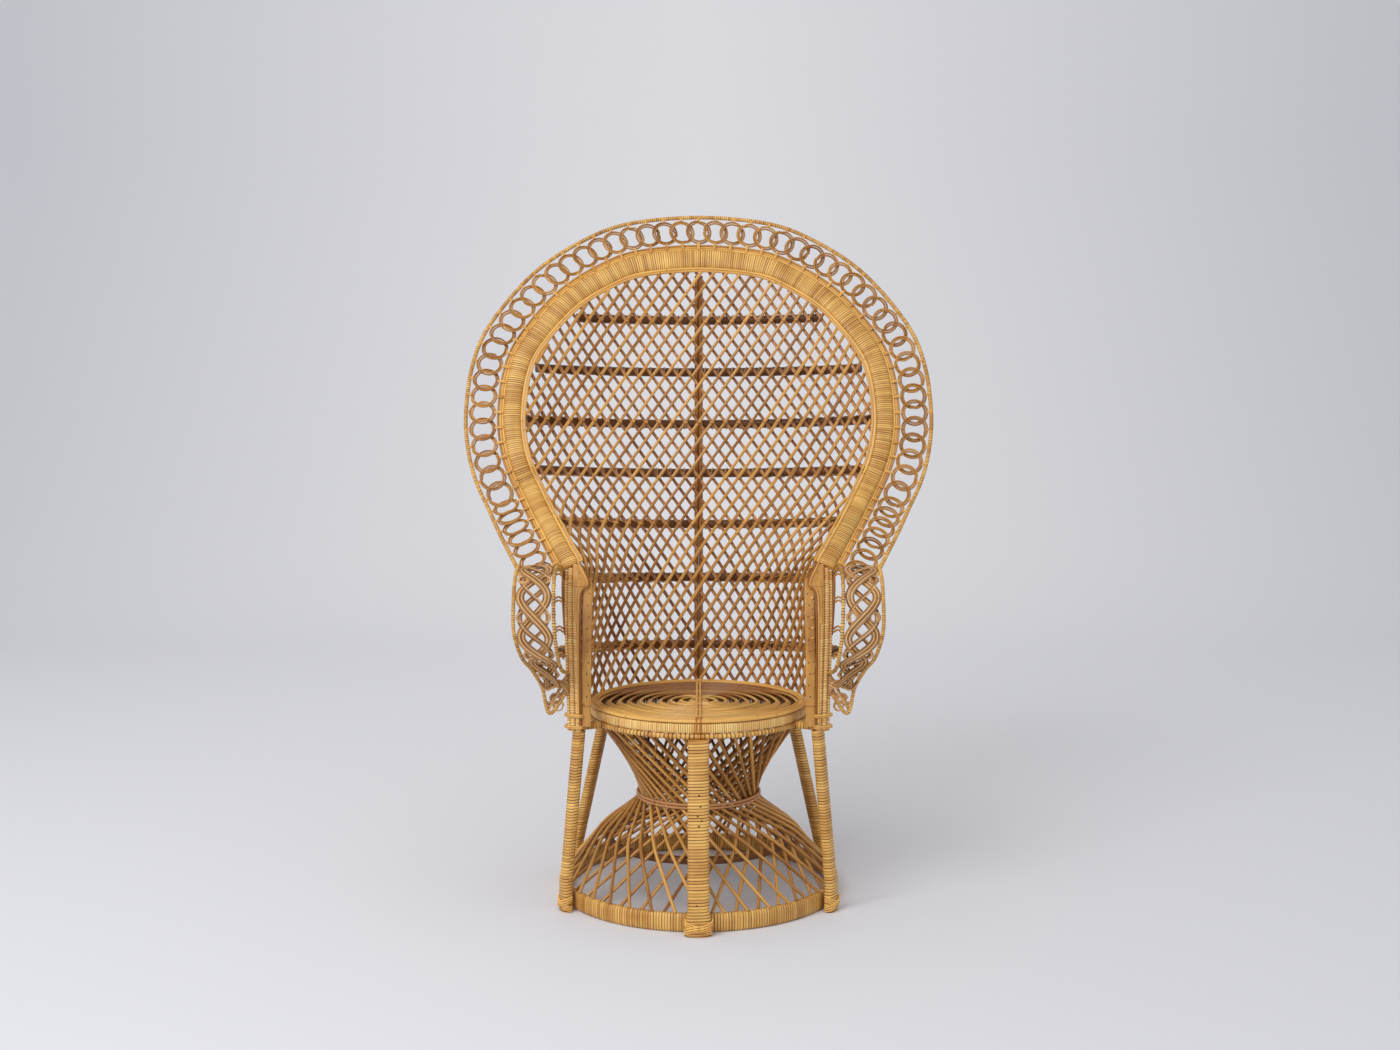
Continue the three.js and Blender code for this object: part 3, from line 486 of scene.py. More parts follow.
def leg_place(height, top_radius):
    share = max(height - leg_upright_height, 0) / (leg_top_height - leg_upright_height)
    return blend(leg_foot_radius, top_radius, share)


def wound_leg(angle, top_radius, leg_width, leg_thickness):
    outline = oval(leg_width, leg_thickness, leg_sides, leg_square)
    rows = []
    for i, height in enumerate(evenly(0, leg_top_height, leg_turns * 4)):
        swell = leg_foot_swell * min(max((leg_upright_height - height) / leg_foot_fade, 0), 1)
        row = []
        for j, (x, y) in enumerate(outline):
            phase = (i / 4 + j / leg_sides) % 1
            proud = 1 - ridge * abs(phase * 2 - 1) ** 3 / math.hypot(x, y)
            dent = pole_groove * max(1 - abs(x) / (leg_width * pole_groove_share), 0) ** 2
            x_wide = x * (1 + swell / (leg_width / 2)) * proud
            y_deep = y * proud - math.copysign(dent, y)
            spot = polar(leg_place(height, top_radius) + y_deep, angle, height)
            row.append(spot + sideways(angle) * x_wide)
        rows.append(row)
    return skin(rows, lift=leg_turn)


def foot_lashing(angle, leg_width, leg_thickness):
    """Two crossed bands of three thin canes round the front of a foot."""
    canes = []
    half_width = leg_width / 2 + leg_foot_swell
    for way, lift in ((-1, lashing_lift), (1, lashing_lift * 2)):
        for strand in (-1, 0, 1):
            run = []
            for share in evenly(0, 1, lashing_steps):
                turn = math.radians(lashing_sweep * (share - 0.5))
                rise = (share if way > 0 else 1 - share) * lashing_rise
                height = lashing_low + rise + strand * lashing_pitch
                x = (half_width + lift) * squared(math.sin(turn), lashing_square)
                y = (leg_thickness / 2 + lift) * squared(math.cos(turn), lashing_square)
                spot = polar(leg_foot_radius + y, angle, max(height, lashing_floor_gap))
                run.append(spot + sideways(angle) * x)
            canes.append(lay_cane(run, lashing_cane, faces=1, tone=0.9 + 0.15 * strand))
    return canes


def nail_at(spot, radius):
    """A small domed nail head that faces the sitter's front."""
    deselect()
    bpy.ops.mesh.primitive_uv_sphere_add(
        segments=8, ring_count=6, radius=radius, location=(0, 0, 0),
    )
    nail = bpy.context.object
    nail.data.transform(Matrix.Translation(spot) @ Matrix.Diagonal((1, 0.45, 1, 1)))
    note_tone(nail, 0.0)
    return nail


joint_colour = linear(120, 76, 38)
wrap_leg = wrap_finish("wrap_leg", leg_turn, light_dark, light_light, painted_groove_shade)
cane_light = cane_finish("cane_light", light_dark, light_light, joint_colour)
cane_dark = cane_finish("cane_dark", linear(72, 42, 20), linear(150, 98, 52), linear(60, 34, 16))
for name, turns, top_radius, section in (
    ("front", 0, leg_top_radius, front_leg_section),
    ("side_right", 1, side_leg_top_radius, slim_leg_section),
    ("rear_right", 2, leg_top_radius, slim_leg_section),
    ("rear", 3, leg_top_radius, front_leg_section),
    ("rear_left", -2, leg_top_radius, slim_leg_section),
    ("side_left", -1, side_leg_top_radius, slim_leg_section),
):
    leg_angle = math.radians(60 * turns)
    leg = wound_leg(leg_angle, top_radius, *section)
    finish_piece([leg], "wound_leg_" + name, wrap_leg, ["leg_" + name])
    lashing = foot_lashing(leg_angle, *section)
    finish_piece(lashing, "foot_lashing_" + name, cane_light, [])
leg_nails = []
for x, height in leg_nail_places:
    front = leg_place(height, leg_top_radius) + front_leg_section[1] / 2 + leg_nail_lift
    leg_nails.append(nail_at(polar(front, 0, height) + Vector((x, 0, 0)), leg_nail_radius))
finish_piece(leg_nails, "front_leg_nails", cane_dark, [])

# The twisted base: two layers of bare canes pinched at the waist. The outer layer leans one
# way and the inner layer the other, and both bend over a bare hoop at the knee.
strand_thickness = 0.0069
strand_count = 38
strand_steps = 10
waist_height = 0.205
waist_radius = 0.121
knee_radius = 0.206
knee_height = 0.137
strand_foot_radius = 0.29175
strand_foot_height = 0.037
funnel_top_radius = 0.2158
funnel_top_height = 0.3744
bell_twist = math.radians(48)
bell_upper_twist = math.radians(31)
inner_layer_turn = math.radians(-3.5)
funnel_twist = math.radians(47)
layer_spread = 0.0105
waist_spread_share = 0.8
foot_spread_share = 0.45
funnel_spread_share = 0.7
cane_mid = cane_finish("cane_mid", linear(138, 82, 28), linear(236, 179, 94), joint_colour)
chance = Random(4)


def copy_of(source, matrix, tone):
    copy = bpy.data.objects.new(source.name, source.data.copy())
    bpy.context.scene.collection.objects.link(copy)
    copy.data.transform(matrix)
    copy.data.attributes["tone"].data.foreach_set("value", [tone] * len(copy.data.vertices))
    return copy


def turned(angle):
    """A turn about the seat's upright axis."""
    axis = Vector((0, seat_y, 0))
    return Matrix.Translation(axis) @ Matrix.Rotation(angle, 4, "Z") @ Matrix.Translation(-axis)


def eased(run, times=3):
    """The run with its corners rounded, its ends kept."""
    for _ in range(times):
        middle = [(a + 2 * b + c) / 4 for a, b, c in zip(run, run[1:], run[2:])]
        run = [run[0], *middle, run[-1]]
    return run


def straight(start, end, steps):
    return [start.lerp(end, share) for share in evenly(0, 1, steps)]


def strand_layer(stations, name, tones, node, phase):
    """One strand, bent through its stations and copied all round the axis."""
    run = []
    for one, other in zip(stations, stations[1:]):
        run += straight(polar(*one), polar(*other), strand_steps)[(1 if run else 0):]
    strand = lay_cane(eased(run), strand_thickness)
    canes = [
        copy_of(strand, turned(math.tau * i / strand_count + phase), chance.uniform(*tones))
        for i in range(strand_count)
    ]
    bpy.data.objects.remove(strand)
    finish_piece(canes, name, cane_mid, [node])


for name, way, spread, tones, slot in (
    ("outer", 1, 0, (0.1, 0.95), "rattan_mid"),
    ("inner", -1, layer_spread, (-0.15, 0.5), "rattan_dark"),
):
    phase = inner_layer_turn if spread else 0
    waist = (waist_radius - spread * waist_spread_share, 0, waist_height)
    knee = (knee_radius - spread, way * bell_upper_twist, knee_height)
    foot = (strand_foot_radius - spread * foot_spread_share, way * bell_twist, strand_foot_height)
    top = (funnel_top_radius - spread * funnel_spread_share, -way * funnel_twist, funnel_top_height)
    for place, stations in (("bell", [waist, knee, foot]), ("funnel", [waist, top])):
        node = f"{place}_strands_{name}"
        strand_layer(stations, f"{place}_canes_{name}", tones, node, phase)

# Two red-brown rods clasp the waist, and a bare hoop holds the canes at the knee. Each is
# one thick cane, bent to a ring.
waist_rod_thickness = 0.0056
waist_rod_radius = 0.1296
waist_rod_heights = (0.2042, 0.2108)
knee_low, knee_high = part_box("knee_hoop")
knee_hoop_thickness = knee_high.z - knee_low.z
knee_hoop_radius = (knee_high.x - knee_low.x - knee_hoop_thickness) / 2
knee_hoop_sag = 0.006
knee_hoop_height = (knee_high.z + knee_low.z) / 2 - knee_hoop_sag
cane_red = cane_finish("cane_red", linear(120, 72, 36), linear(206, 148, 94), linear(78, 44, 22))


def ring_cane_at(radius, height, thickness, steps, faces=2, tone=0.5):
    """A cane bent to a ring round the seat's axis."""
    run = [polar(radius, angle, height) for angle in once_round(steps)]
    return lay_cane(run, thickness, closed=True, faces=faces, tone=tone)


for height, name in zip(waist_rod_heights, ("lower", "upper")):
    rod = ring_cane_at(waist_rod_radius, height, waist_rod_thickness, 96, 3, 0.95)
    finish_piece([rod], "waist_cane_" + name, cane_red, ["waist_rod_" + name])
rod = ring_cane_at(knee_hoop_radius, knee_hoop_height, knee_hoop_thickness, 128, 5, 0.6)
finish_piece([rod], "bare_knee_hoop", cane_dark, ["knee_hoop"])

# The seat ring: a lower rod and an apron, both wound with split cane, and a rim of three
# bare canes laid side by side on top.
seat_ring_radius = 0.228
apron_bottom = 0.38
apron_height = 0.02
apron_thickness = 0.013
apron_turn = 0.0044
apron_turns = round(math.tau * seat_ring_radius / apron_turn)
# The last of the apron's colours is painted shade for the grooves between turns.
apron_colours = (linear(224, 154, 78), linear(255, 230, 150), linear(150, 92, 40))
wrap_apron = wrap_finish("wrap_apron", apron_turn, *apron_colours)
apron = wound_ring(
    seat_ring_radius - apron_thickness / 2, apron_bottom, apron_height, apron_thickness,
    apron_turns, 0.5, 12,
)
finish_piece([apron], "wound_apron", wrap_apron, ["seat_apron"])
lower_rod_radius = 0.22525
lower_rod_height = 0.3744
lower_rod_thickness = 0.011
lower_turn = 0.0085
lower_turns = round(math.tau * lower_rod_radius / lower_turn)
wrap_lower = wrap_finish("wrap_lower", lower_turn, light_dark, light_light, painted_groove_shade)
lower_rod = wound_ring(
    lower_rod_radius, lower_rod_height - lower_rod_thickness / 2, lower_rod_thickness,
    lower_rod_thickness, lower_turns, 1, 12,
)
finish_piece([lower_rod], "wound_lower_rod", wrap_lower, ["seat_lower_rod"])
rim_rod_radius = 0.223
rim_rod_height = 0.4051
rim_canes = []
for out, up, thickness in (
    (0.0015, -0.0008, 0.0068), (-0.0036, 0.0014, 0.0058), (-0.0085, -0.0008, 0.0048),
):
    place = (rim_rod_radius + out, rim_rod_height + up)
    rim_canes.append(ring_cane_at(*place, thickness, 120, tone=chance.uniform(0.4, 0.8)))
finish_piece(rim_canes, "seat_rim_canes", cane_light, ["seat_rim_rod"])

# The woven seat: thin canes run across the front and rear in close rows, and turn in open
# chevron loops at the two sides, over a layer of dark straight canes that is painted shade,
# dark where shade falls under the weave. A pair of canes with bindings crosses it from the
# front.
weave_height = 0.4022
weave_reach = 0.2125
weave_cane = 0.0054
weave_loops = 10
weave_steps = 110
loop_canes = 4
loop_squeeze = 0.0019
loop_push = 0.0105
loop_half_depth = 0.14
loop_forward = 0.024
loop_sharpness = 2.4
loop_step_down = 0.0013
under_drop = 0.0062
under_pitch = 0.0061
under_cane = 0.0056
under_shortest_half = 0.02
under_half_count = 34
centre_reach = 0.212
centre_height = 0.4068
centre_half_gap = 0.0034
centre_cane = 0.0048
binding_cane = 0.0026
binding_places = (-0.19, -0.12, -0.06, 0.0, 0.08, 0.17)
binding_height = 0.4087
binding_line = (-0.0075, -0.004, 0, 0.004, 0.0075)
binding_droop = 0.2
over_rim_cane = 0.0031
over_rim_half_gap = 0.0042
over_rim_line = (
    (0.2, 0.4075), (0.213, 0.4118), (0.2235, 0.4122),
    (0.229, 0.4085), (0.2295, 0.395), (0.2295, 0.383),
)
cane_seat = cane_finish("cane_seat", linear(146, 86, 28), light_light, joint_colour, 0.58)


def level_spot(radius, turn, height, middle_y=0.0):
    return Vector((radius * math.cos(turn), middle_y + radius * math.sin(turn), height))


weave_canes = []
for loop in range(weave_loops):
    for k in range(loop_canes):
        dense = weave_reach * (loop + (k + 0.5) / loop_canes) / weave_loops
        from_middle = k - (loop_canes - 1) / 2
        close = weave_reach * (loop + 0.5) / weave_loops + from_middle * loop_squeeze
        run = []
        for angle in once_round(weave_steps):
            off_middle = abs(dense * math.sin(angle) + loop_forward)
            fade = max(1 - off_middle / loop_half_depth, 0) * min(abs(math.cos(angle)) * 2, 1)
            share = min(fade * loop_sharpness, 1)
            radius = blend(dense, close, share) + loop_push * fade ** 2
            height = weave_height - share * loop_step_down * from_middle
            run.append(level_spot(radius, angle, height, seat_y))
        tone = chance.uniform(0.3, 0.9)
        weave_canes.append(lay_cane(run, weave_cane, closed=True, faces=1, tone=tone))
finish_piece(
    weave_canes, "seat_weave", cane_seat,
    ["seat_mat_front", "seat_mat_rear", "seat_mat_left", "seat_mat_right"],
)


def seat_line(x, half, height, steps):
    """A straight run across the seat from front to rear."""
    return straight(Vector((x, seat_y - half, height)), Vector((x, seat_y + half, height)), steps)


# These dark canes are painted shade: they darken the gaps of the weave as the shade under the seat.
painted_shade_canes = []
for i in range(-under_half_count, under_half_count + 1):
    x = i * under_pitch
    half = math.sqrt(max(weave_reach ** 2 - x ** 2, 0))
    if half > under_shortest_half:
        run = seat_line(x, half, weave_height - under_drop, 3)
        painted_shade_canes.append(lay_cane(run, under_cane, faces=1, tone=chance.uniform(0, 0.35)))
finish_piece(painted_shade_canes, "seat_painted_shade_canes", cane_dark, [])
centre_canes = []
for x in (-centre_half_gap, centre_half_gap):
    run = seat_line(x, centre_reach, centre_height, 40)
    centre_canes.append(lay_cane(run, centre_cane, tone=0.7))
for y in binding_places:
    run = [
        Vector((x, seat_y + y, binding_height - abs(x) * binding_droop)) for x in binding_line
    ]
    centre_canes.append(lay_cane(run, binding_cane, tone=0.5))
for x in (-over_rim_half_gap, over_rim_half_gap):
    run = eased([Vector((x, seat_y - radius, height)) for radius, height in over_rim_line], 1)
    centre_canes.append(lay_cane(run, over_rim_cane, faces=1, tone=-0.4))
finish_piece(centre_canes, "seat_centre_canes", cane_light, ["seat_centre_bar"])

# The back: one surface that wraps round the seat like a barrel and opens above into a fan.
# Each row, from the crown down, holds its half width, height and depth as shares of the
# back's own sizes, and below the fan the angle that the row turns through.
back_top_height = 1.325
back_foot_height = 0.4
back_height = back_top_height - back_foot_height
back_half_width = 0.381
back_depth = 0.2786
back_foot_depth = 0.243
back_recline = 0.133
back_tilt = 0.12
fan_radius = 0.55
barrel_half_width = 0.23584
barrel_share = 0.619
widest_row = 7
crown_row = 1
neck_row = 14
row_fineness = 60
back_rows_share = (
    (-0.294, 0.99, 1.01), (0, 1, 1), (0.294, 0.99, 1.01), (0.477, 0.965, 1.03),
    (0.713, 0.9, 1.12), (0.91, 0.8, 1.17), (0.978, 0.73, 1.25), (1, 0.64, 1.47),
    (0.986, 0.576, 1.72), (0.95, 0.523, 2.08), (0.894, 0.472, 2.38), (0.823, 0.42, 2.33, 46),
    (0.747, 0.37, 2.07, 56), (0.679, 0.325, 1.8, 66), (0.624, 0.287, 1.47, 78),
    (0.619, 0.25, 1.28, 87), (0.619, 0.223, 1.19, 94), (0.619, 0.11, 1.06, 107),
    (0.619, 0, 1, 113), (0.619, -0.1, 1, 113),
)
back_rows = []
for number, (width, height, depth, *turn) in enumerate(back_rows_share):
    fan_share = (width - barrel_share) / (1 - barrel_share)
    half_width = blend(barrel_half_width, back_half_width, fan_share)
    if number < widest_row:
        half_width = width * back_half_width
    half_turn = math.radians(turn[0]) if turn else math.asin(half_width / fan_radius)
    row_height = back_foot_height + height * back_height
    back_rows.append((half_width, row_height, depth * back_depth, half_turn))


def row_at(place):
    """The row at a place between the rows of the table, on a smooth curve through them."""
    last = len(back_rows) - 1
    index = min(max(math.floor(place), 0), last - 1)
    t = place - index
    near = [back_rows[min(max(i, 0), last)] for i in range(index - 1, index + 3)]
    return [
        (2 * b + (c - a) * t + (2 * a - 5 * b + 4 * c - d) * t * t
         + (3 * b - a - 3 * c + d) * t * t * t) / 2
        for a, b, c, d in zip(*near)
    ]


fine_count = (len(back_rows) - 1 - crown_row) * row_fineness
fine_rows = [row_at(crown_row + i / row_fineness) for i in range(fine_count + 1)]
fine_drops = [-row[1] for row in fine_rows]


def row_of(height):
    after, share = point_on(fine_drops, -height)
    share = min(max(share, 0), 1)
    return [blend(a, b, share) for a, b in zip(fine_rows[after - 1], fine_rows[after])]


def half_axis(row):
    return row[0] / math.sin(row[3]) if row[3] > 0.001 else fan_radius


def back_point(row, angle, offset=0.0):
    """A point of the back at an angle round its row, offset away from the sitter."""
    axis = half_axis(row)
    forward = row[2] * (1 - math.cos(angle))
    normal = Vector((math.sin(angle) / axis, math.cos(angle) / row[2])).normalized()
    spine = back_foot_depth + back_recline * (row[1] - back_foot_height)
    return Vector((
        axis * math.sin(angle) + normal.x * offset,
        seat_y + spine - forward + normal.y * offset,
        row[1] + back_tilt * forward,
    ))


def edge_angle(row, margin):
    across, deep = half_axis(row) * math.cos(row[3]), row[2] * math.sin(row[3])
    return row[3] - margin / math.hypot(across, deep)


# The lattice: two layers of bare canes, laid slanting over each other. The front layer
# rises to the sitter's left, and both layers end under the border canes.
lattice_cane = 0.0076
lattice_offset = 0.0034
lattice_pitch = 0.0305
lattice_closing = 0.1
lattice_closed_share = 0.2
lattice_closing_share = 0.25
lattice_rise = back_height * 0.0451
lattice_low = 0.388
lattice_lowest = 0.31
lattice_step = 0.012
lattice_half_count = 46
lattice_reach = 0.0032
lattice_foot_zone = 0.02
lattice_shortest = 0.02
least_step = 0.0005
edge_halvings = 12


def lattice_angle(row, turns):
    """The angle round a row after so many turns of the pitch, which is closer low down."""
    height_share = (row[1] - back_foot_height) / back_height
    share = min(max((height_share - lattice_closed_share) / lattice_closing_share, 0), 1)
    smooth = share * share * (3 - 2 * share)
    pitch = lattice_pitch * (1 - lattice_closing + lattice_closing * smooth)
    return turns * pitch / half_axis(row)


def lattice_spot(line, slope, offset, height):
    """Where a cane passes a height, and whether that is within the back's edges."""
    row = row_of(height)
    angle = lattice_angle(row, line + slope * (row[1] - back_foot_height) / lattice_rise)
    spot = back_point(row, angle, offset)
    return spot, abs(angle) <= edge_angle(row, 0) and spot.z >= lattice_low


def lattice_layer(slope, offset, name, finish, nodes):
    """The canes of one direction, each cut off where it passes the edge of the back."""
    canes = []
    steps = math.ceil((back_top_height - lattice_lowest) / lattice_step)
    heights = evenly(lattice_lowest, back_top_height, steps)
    for line in range(-lattice_half_count, lattice_half_count + 1):
        runs = []
        was_inside = False
        for number, height in enumerate(heights):
            spot, inside = lattice_spot(line, slope, offset, height)
            if inside != was_inside and number:
                outer, inner = heights[number - 1], height
                if was_inside:
                    outer, inner = inner, outer
                for _ in range(edge_halvings):
                    middle = (outer + inner) / 2
                    if lattice_spot(line, slope, offset, middle)[1]:
                        inner = middle
                    else:
                        outer = middle
                if inside:
                    runs.append([])
                runs[-1].append(lattice_spot(line, slope, offset, inner)[0])
            elif inside and not number:
                runs.append([])
            if inside:
                runs[-1].append(spot)
            was_inside = inside
        for run in runs:
            run = [
                spot for spot, after in zip(run, [*run[1:], None])
                if not after or (after - spot).length > least_step
            ]
            if course_of(run)[-1] < lattice_shortest:
                continue
            for end, inward in ((0, 1), (-1, -2)):
                if run[end].z > lattice_low + lattice_foot_zone:
                    run[end] = run[end] + (run[end] - run[inward]).normalized() * lattice_reach
            canes.append(lay_cane(run, lattice_cane, faces=1, tone=chance.uniform(0.05, 1)))
    finish_piece(canes, name, finish, nodes)


lattice_layer(
    1, -lattice_offset, "lattice_canes_front", cane_mid,
    ["lattice_front", "lattice_front_edge"],
)
lattice_layer(
    -1, lattice_offset, "lattice_canes_rear", cane_red,
    ["lattice_rear", "lattice_rear_edge"],
)

# Behind the lattice stand a spine of two poles and seven bars, all of dark unpeeled cane.
# The bars' dark is partly painted shade, for the shade they stand in behind the lattice.
# The lattice is tied to each bar with thin cane where its canes cross.
spine_pole = 0.0098
spine_offset = 0.0188
spine_top_gap = 0.006
spine_steps = 60
spine_overlap_share = 0.46
spine_canes = []
for side in (-1, 1):
    run = []
    for height in evenly(lattice_low, back_top_height - spine_top_gap, spine_steps):
        row = row_of(height)
        aside = side * spine_pole * spine_overlap_share / half_axis(row)
        run.append(back_point(row, aside, spine_offset))
    spine_canes.append(lay_cane(run, spine_pole, faces=3, tone=0.1 + 0.15 * side))
finish_piece(spine_canes, "spine_poles", cane_mid, ["spine_pole"])
bar_thickness = 0.02
bar_offset = 0.03885
bar_heights = (0.478, 0.63, 0.7505, 0.867, 0.979, 1.098, 1.2175)
bar_margins = (0.074, 0.06, 0.02, 0.02, 0.02, 0.02, 0.02)
bar_segments = 48
tie_thickness = 0.0038
tie_front = -0.0078
tie_half_turn = 0.006
tie_half_height = 0.0104
tie_half_depth = 0.0075
tie_back = 0.0112
tie_half_count = 44
bar_ties = []
for number, (height, margin) in enumerate(zip(bar_heights, bar_margins), 1):
    row = row_of(height)
    reach = edge_angle(row, margin)
    run = [back_point(row, angle, bar_offset) for angle in evenly(-reach, reach, bar_segments)]
    rod = lay_cane(run, bar_thickness, faces=4, tone=chance.uniform(0.2, 0.6))
    node = f"back_bar_{number}"
    # The bars' dark finish is partly painted shade from the lattice in front of them.
    finish_piece([rod], f"back_bar_cane_{number}", cane_dark, [node])
    level = round((height - back_foot_height) / (lattice_rise / 2))
    tie_row = row_of(back_foot_height + level * lattice_rise / 2)
    low, high = row_of(height - tie_half_height), row_of(height + tie_half_height)
    for cross in range(-tie_half_count, tie_half_count + 1):
        angle = lattice_angle(tie_row, cross + level / 2)
        if abs(angle) > reach:
            continue
        loop = [
            back_point(tie_row, angle + tie_half_turn, tie_front),
            back_point(tie_row, angle - tie_half_turn, tie_front),
            back_point(high, angle, bar_offset - tie_half_depth),
            back_point(high, angle, bar_offset + tie_half_depth),
            back_point(row, angle, bar_offset + tie_back),
            back_point(low, angle, bar_offset + tie_half_depth),
            back_point(low, angle, bar_offset - tie_half_depth),
        ]
        tone = chance.uniform(0.2, 0.9)
        bar_ties.append(lay_cane(loop, tie_thickness, closed=True, faces=0, tone=tone))
finish_piece(bar_ties, "bar_ties", cane_mid, [], 60)

# The hoop: two bare border canes edge the lattice, and outside them a broad core is wound
# turn beside turn with split cane. A pair of canes closes its outer edge.
hoop_steps = 420
hoop_lean = math.radians(22)
hoop_reading = 0.012
hoop_cane_steps = 260
border_outs = (0.0031, 0.0094)
border_cane = 0.0058
border_face = 0.0036
band_start = 0.0126
band_end_width = 0.032
band_crown_growth = 0.011
band_overlap = 0.002
band_clearance = 0.0001
band_thickness = 0.02
band_turn = 0.005
outer_canes_share = ((0.0028, 0.0056, 0.0, 0.75), (0.0083, 0.0054, -0.001, 0.5))
hoop_run = []
for i in range(-hoop_steps, hoop_steps + 1):
    row = row_at(crown_row + (neck_row - crown_row) * abs(i) / hoop_steps)
    hoop_run.append(back_point(row, math.copysign(row[3], i) if i else 0))
hoop_course = course_of(hoop_run)
hoop_length = hoop_course[-1]
hoop_face = Vector((0, -math.cos(hoop_lean), math.sin(hoop_lean)))


def hoop_spot(course):
    after, share = point_on(hoop_course, course)
    return hoop_run[after - 1].lerp(hoop_run[after], share)


def hoop_frame(share):
    """A place on the hoop, and the directions along it, to the front and outwards."""
    course = share * hoop_length
    ahead = hoop_spot(min(course + hoop_reading, hoop_length))
    along = (ahead - hoop_spot(max(course - hoop_reading, 0))).normalized()
    face = (hoop_face - along * hoop_face.dot(along)).normalized()
    return hoop_spot(course), along, face, face.cross(along).normalized()


def hoop_point(share, out, face=0.0):
    place, along, facing, outward = hoop_frame(share)
    return place + outward * out + facing * face


def band_width(share):
    return band_end_width + band_crown_growth * math.sin(share * math.pi) ** 2


def band_end(share):
    return band_start + band_width(share) + band_clearance


def hoop_cane(out, thickness, face=0.0, tone=0.5, faces=3, first=0.0):
    """A cane that follows the hoop. out gives its distance from the lattice's edge."""
    shares = evenly(first, 1 - first, hoop_cane_steps)
    run = [hoop_point(share, out(share), face) for share in shares]
    return lay_cane(run, thickness, faces=faces, tone=tone)


for number, border_out in enumerate(border_outs, 1):
    rod = hoop_cane(lambda share: border_out, border_cane, border_face, 0.2 + 0.3 * number)
    node = f"inner_border_rod_{number}"
    finish_piece([rod], f"inner_border_cane_{number}", cane_light, [node])
band_turns = round(hoop_length / band_turn)
band_colours = (light_dark, light_light, painted_groove_shade)
wrap_band = wrap_finish("wrap_band", hoop_length / band_turns, *band_colours)
band_outline = oval(1, band_thickness, 18, 0.75)
band_rows = []
for i, share in enumerate(evenly(0, 1, band_turns * 4)):
    place, along, facing, outward = hoop_frame(share)
    middle = place + outward * (band_start + band_width(share) / 2)
    wide, proud = band_width(share) + band_overlap, 1 + dip(i) * 2 / band_thickness
    band_rows.append([
        middle + outward * (x * wide) + facing * (y * proud) for x, y in band_outline
    ])
finish_piece([skin(band_rows)], "wound_hoop_band", wrap_band, ["hoop_band"])
outer_canes = [
    hoop_cane(lambda share: band_end(share) + out, thickness, face, tone)
    for out, thickness, face, tone in outer_canes_share
]
finish_piece(outer_canes, "outer_border_canes", cane_light, ["outer_border_rod"])

# The halo: a chain of rings, each of one thin cane wound twice round, that stands between
# a rail and a wound rim. Short ties of cane hold each ring to both.
rail_thickness = 0.005
rail_gap = 0.0111
rail_face = -0.001
rail_first = 0.004
ring_radius = 0.0275
ring_cane = 0.0044
ring_half_cane = 0.0027
ring_step = 0.0048
ring_step_start = 0.92
ring_step_length = 0.16
ring_inset = 0.0044
ring_gap = 0.0016
ring_turns = 2
ring_points = 52
ring_ripple = 0.0009
ring_lean = math.radians(10)
ring_pitch = 0.0392
rim_thickness = 0.0094
rim_turn = 0.0048
rim_face = 0.002
rim_steps = 300
rough_depth = 0.0004
rough_waves = 310
halo_start = 0.012
halo_samples = 400
halo_tie = 0.0032
halo_tie_slip = 0.0015
halo_tie_on_band = 0.003
halo_tie_on_rim = 0.002
halo_tie_face = 0.0035
halo_tie_middle = 0.0052


def rail_out(share):
    return band_end(share) + rail_gap + rail_thickness / 2


def ring_out(share):
    return rail_out(share) + rail_thickness / 2 + ring_half_cane + ring_gap + ring_radius


def rim_out(share):
    return ring_out(share) + ring_radius + ring_half_cane + ring_gap + rim_thickness / 2


halo_shares = evenly(halo_start, 1 - halo_start, halo_samples)
halo_course = course_of([hoop_point(share, ring_out(share)) for share in halo_shares])
ring_count = round(halo_course[-1] / ring_pitch) + 1
coil = []
for i in range(ring_points * ring_turns + 1):
    turn = i / ring_points * math.tau
    change = min(max((turn / math.tau - ring_step_start) / ring_step_length, 0), 1)
    radius = ring_radius - ring_inset + ring_step * change
    height = ring_ripple * math.sin(turn * 1.5)
    coil.append(level_spot(radius, turn, height))
coil = lay_cane(coil, ring_cane, faces=1)
ring_canes = []
halo_ties = []
for i in range(ring_count):
    after, part = point_on(halo_course, halo_course[-1] * i / (ring_count - 1))
    share = blend(halo_shares[after - 1], halo_shares[after], part)
    place, along, facing, outward = hoop_frame(share)
    middle = place + outward * ring_out(share)
    stand = Matrix((outward, along, outward.cross(along))).transposed().to_4x4()
    lean = Matrix.Rotation(ring_lean + chance.uniform(-0.02, 0.02), 4, "X")
    spin = Matrix.Rotation(chance.uniform(0, math.tau), 4, "Z")
    stood = Matrix.Translation(middle) @ stand @ lean @ spin
    ring_canes.append(copy_of(coil, stood, chance.uniform(0.05, 0.45)))
    for near, far in (
        (ring_out(share) + ring_radius, rim_out(share) + halo_tie_on_rim),
        (band_end(share) + halo_tie_on_band, ring_out(share) - ring_radius),
    ):
        for slip in (-halo_tie_slip, halo_tie_slip):
            start = place + along * slip
            run = [
                start + outward * near + facing * halo_tie_face,
                start + outward * ((near + far) / 2) + facing * halo_tie_middle,
                start + outward * far + facing * halo_tie_face,
            ]
            halo_ties.append(lay_cane(run, halo_tie, faces=1, tone=chance.uniform(0.2, 0.9)))
bpy.data.objects.remove(coil)
for first, name in enumerate(("front", "rear")):
    node = "halo_rings_" + name
    finish_piece(ring_canes[first::2], "halo_ring_canes_" + name, cane_mid, [node])
finish_piece(halo_ties, "halo_ties", cane_light, [])
rail = hoop_cane(rail_out, rail_thickness, rail_face, 0.35, 2, rail_first)
finish_piece([rail], "halo_rail", cane_mid, ["halo_rings_rear"])
rim_run = [hoop_point(share, rim_out(share), rim_face) for share in evenly(0, 1, rim_steps)]
rim_length = course_of(rim_run)[-1]
rim_turn = rim_length / round(rim_length / rim_turn)
wrap_rim = wrap_finish("wrap_rim", rim_turn, light_dark, light_light, painted_groove_shade)


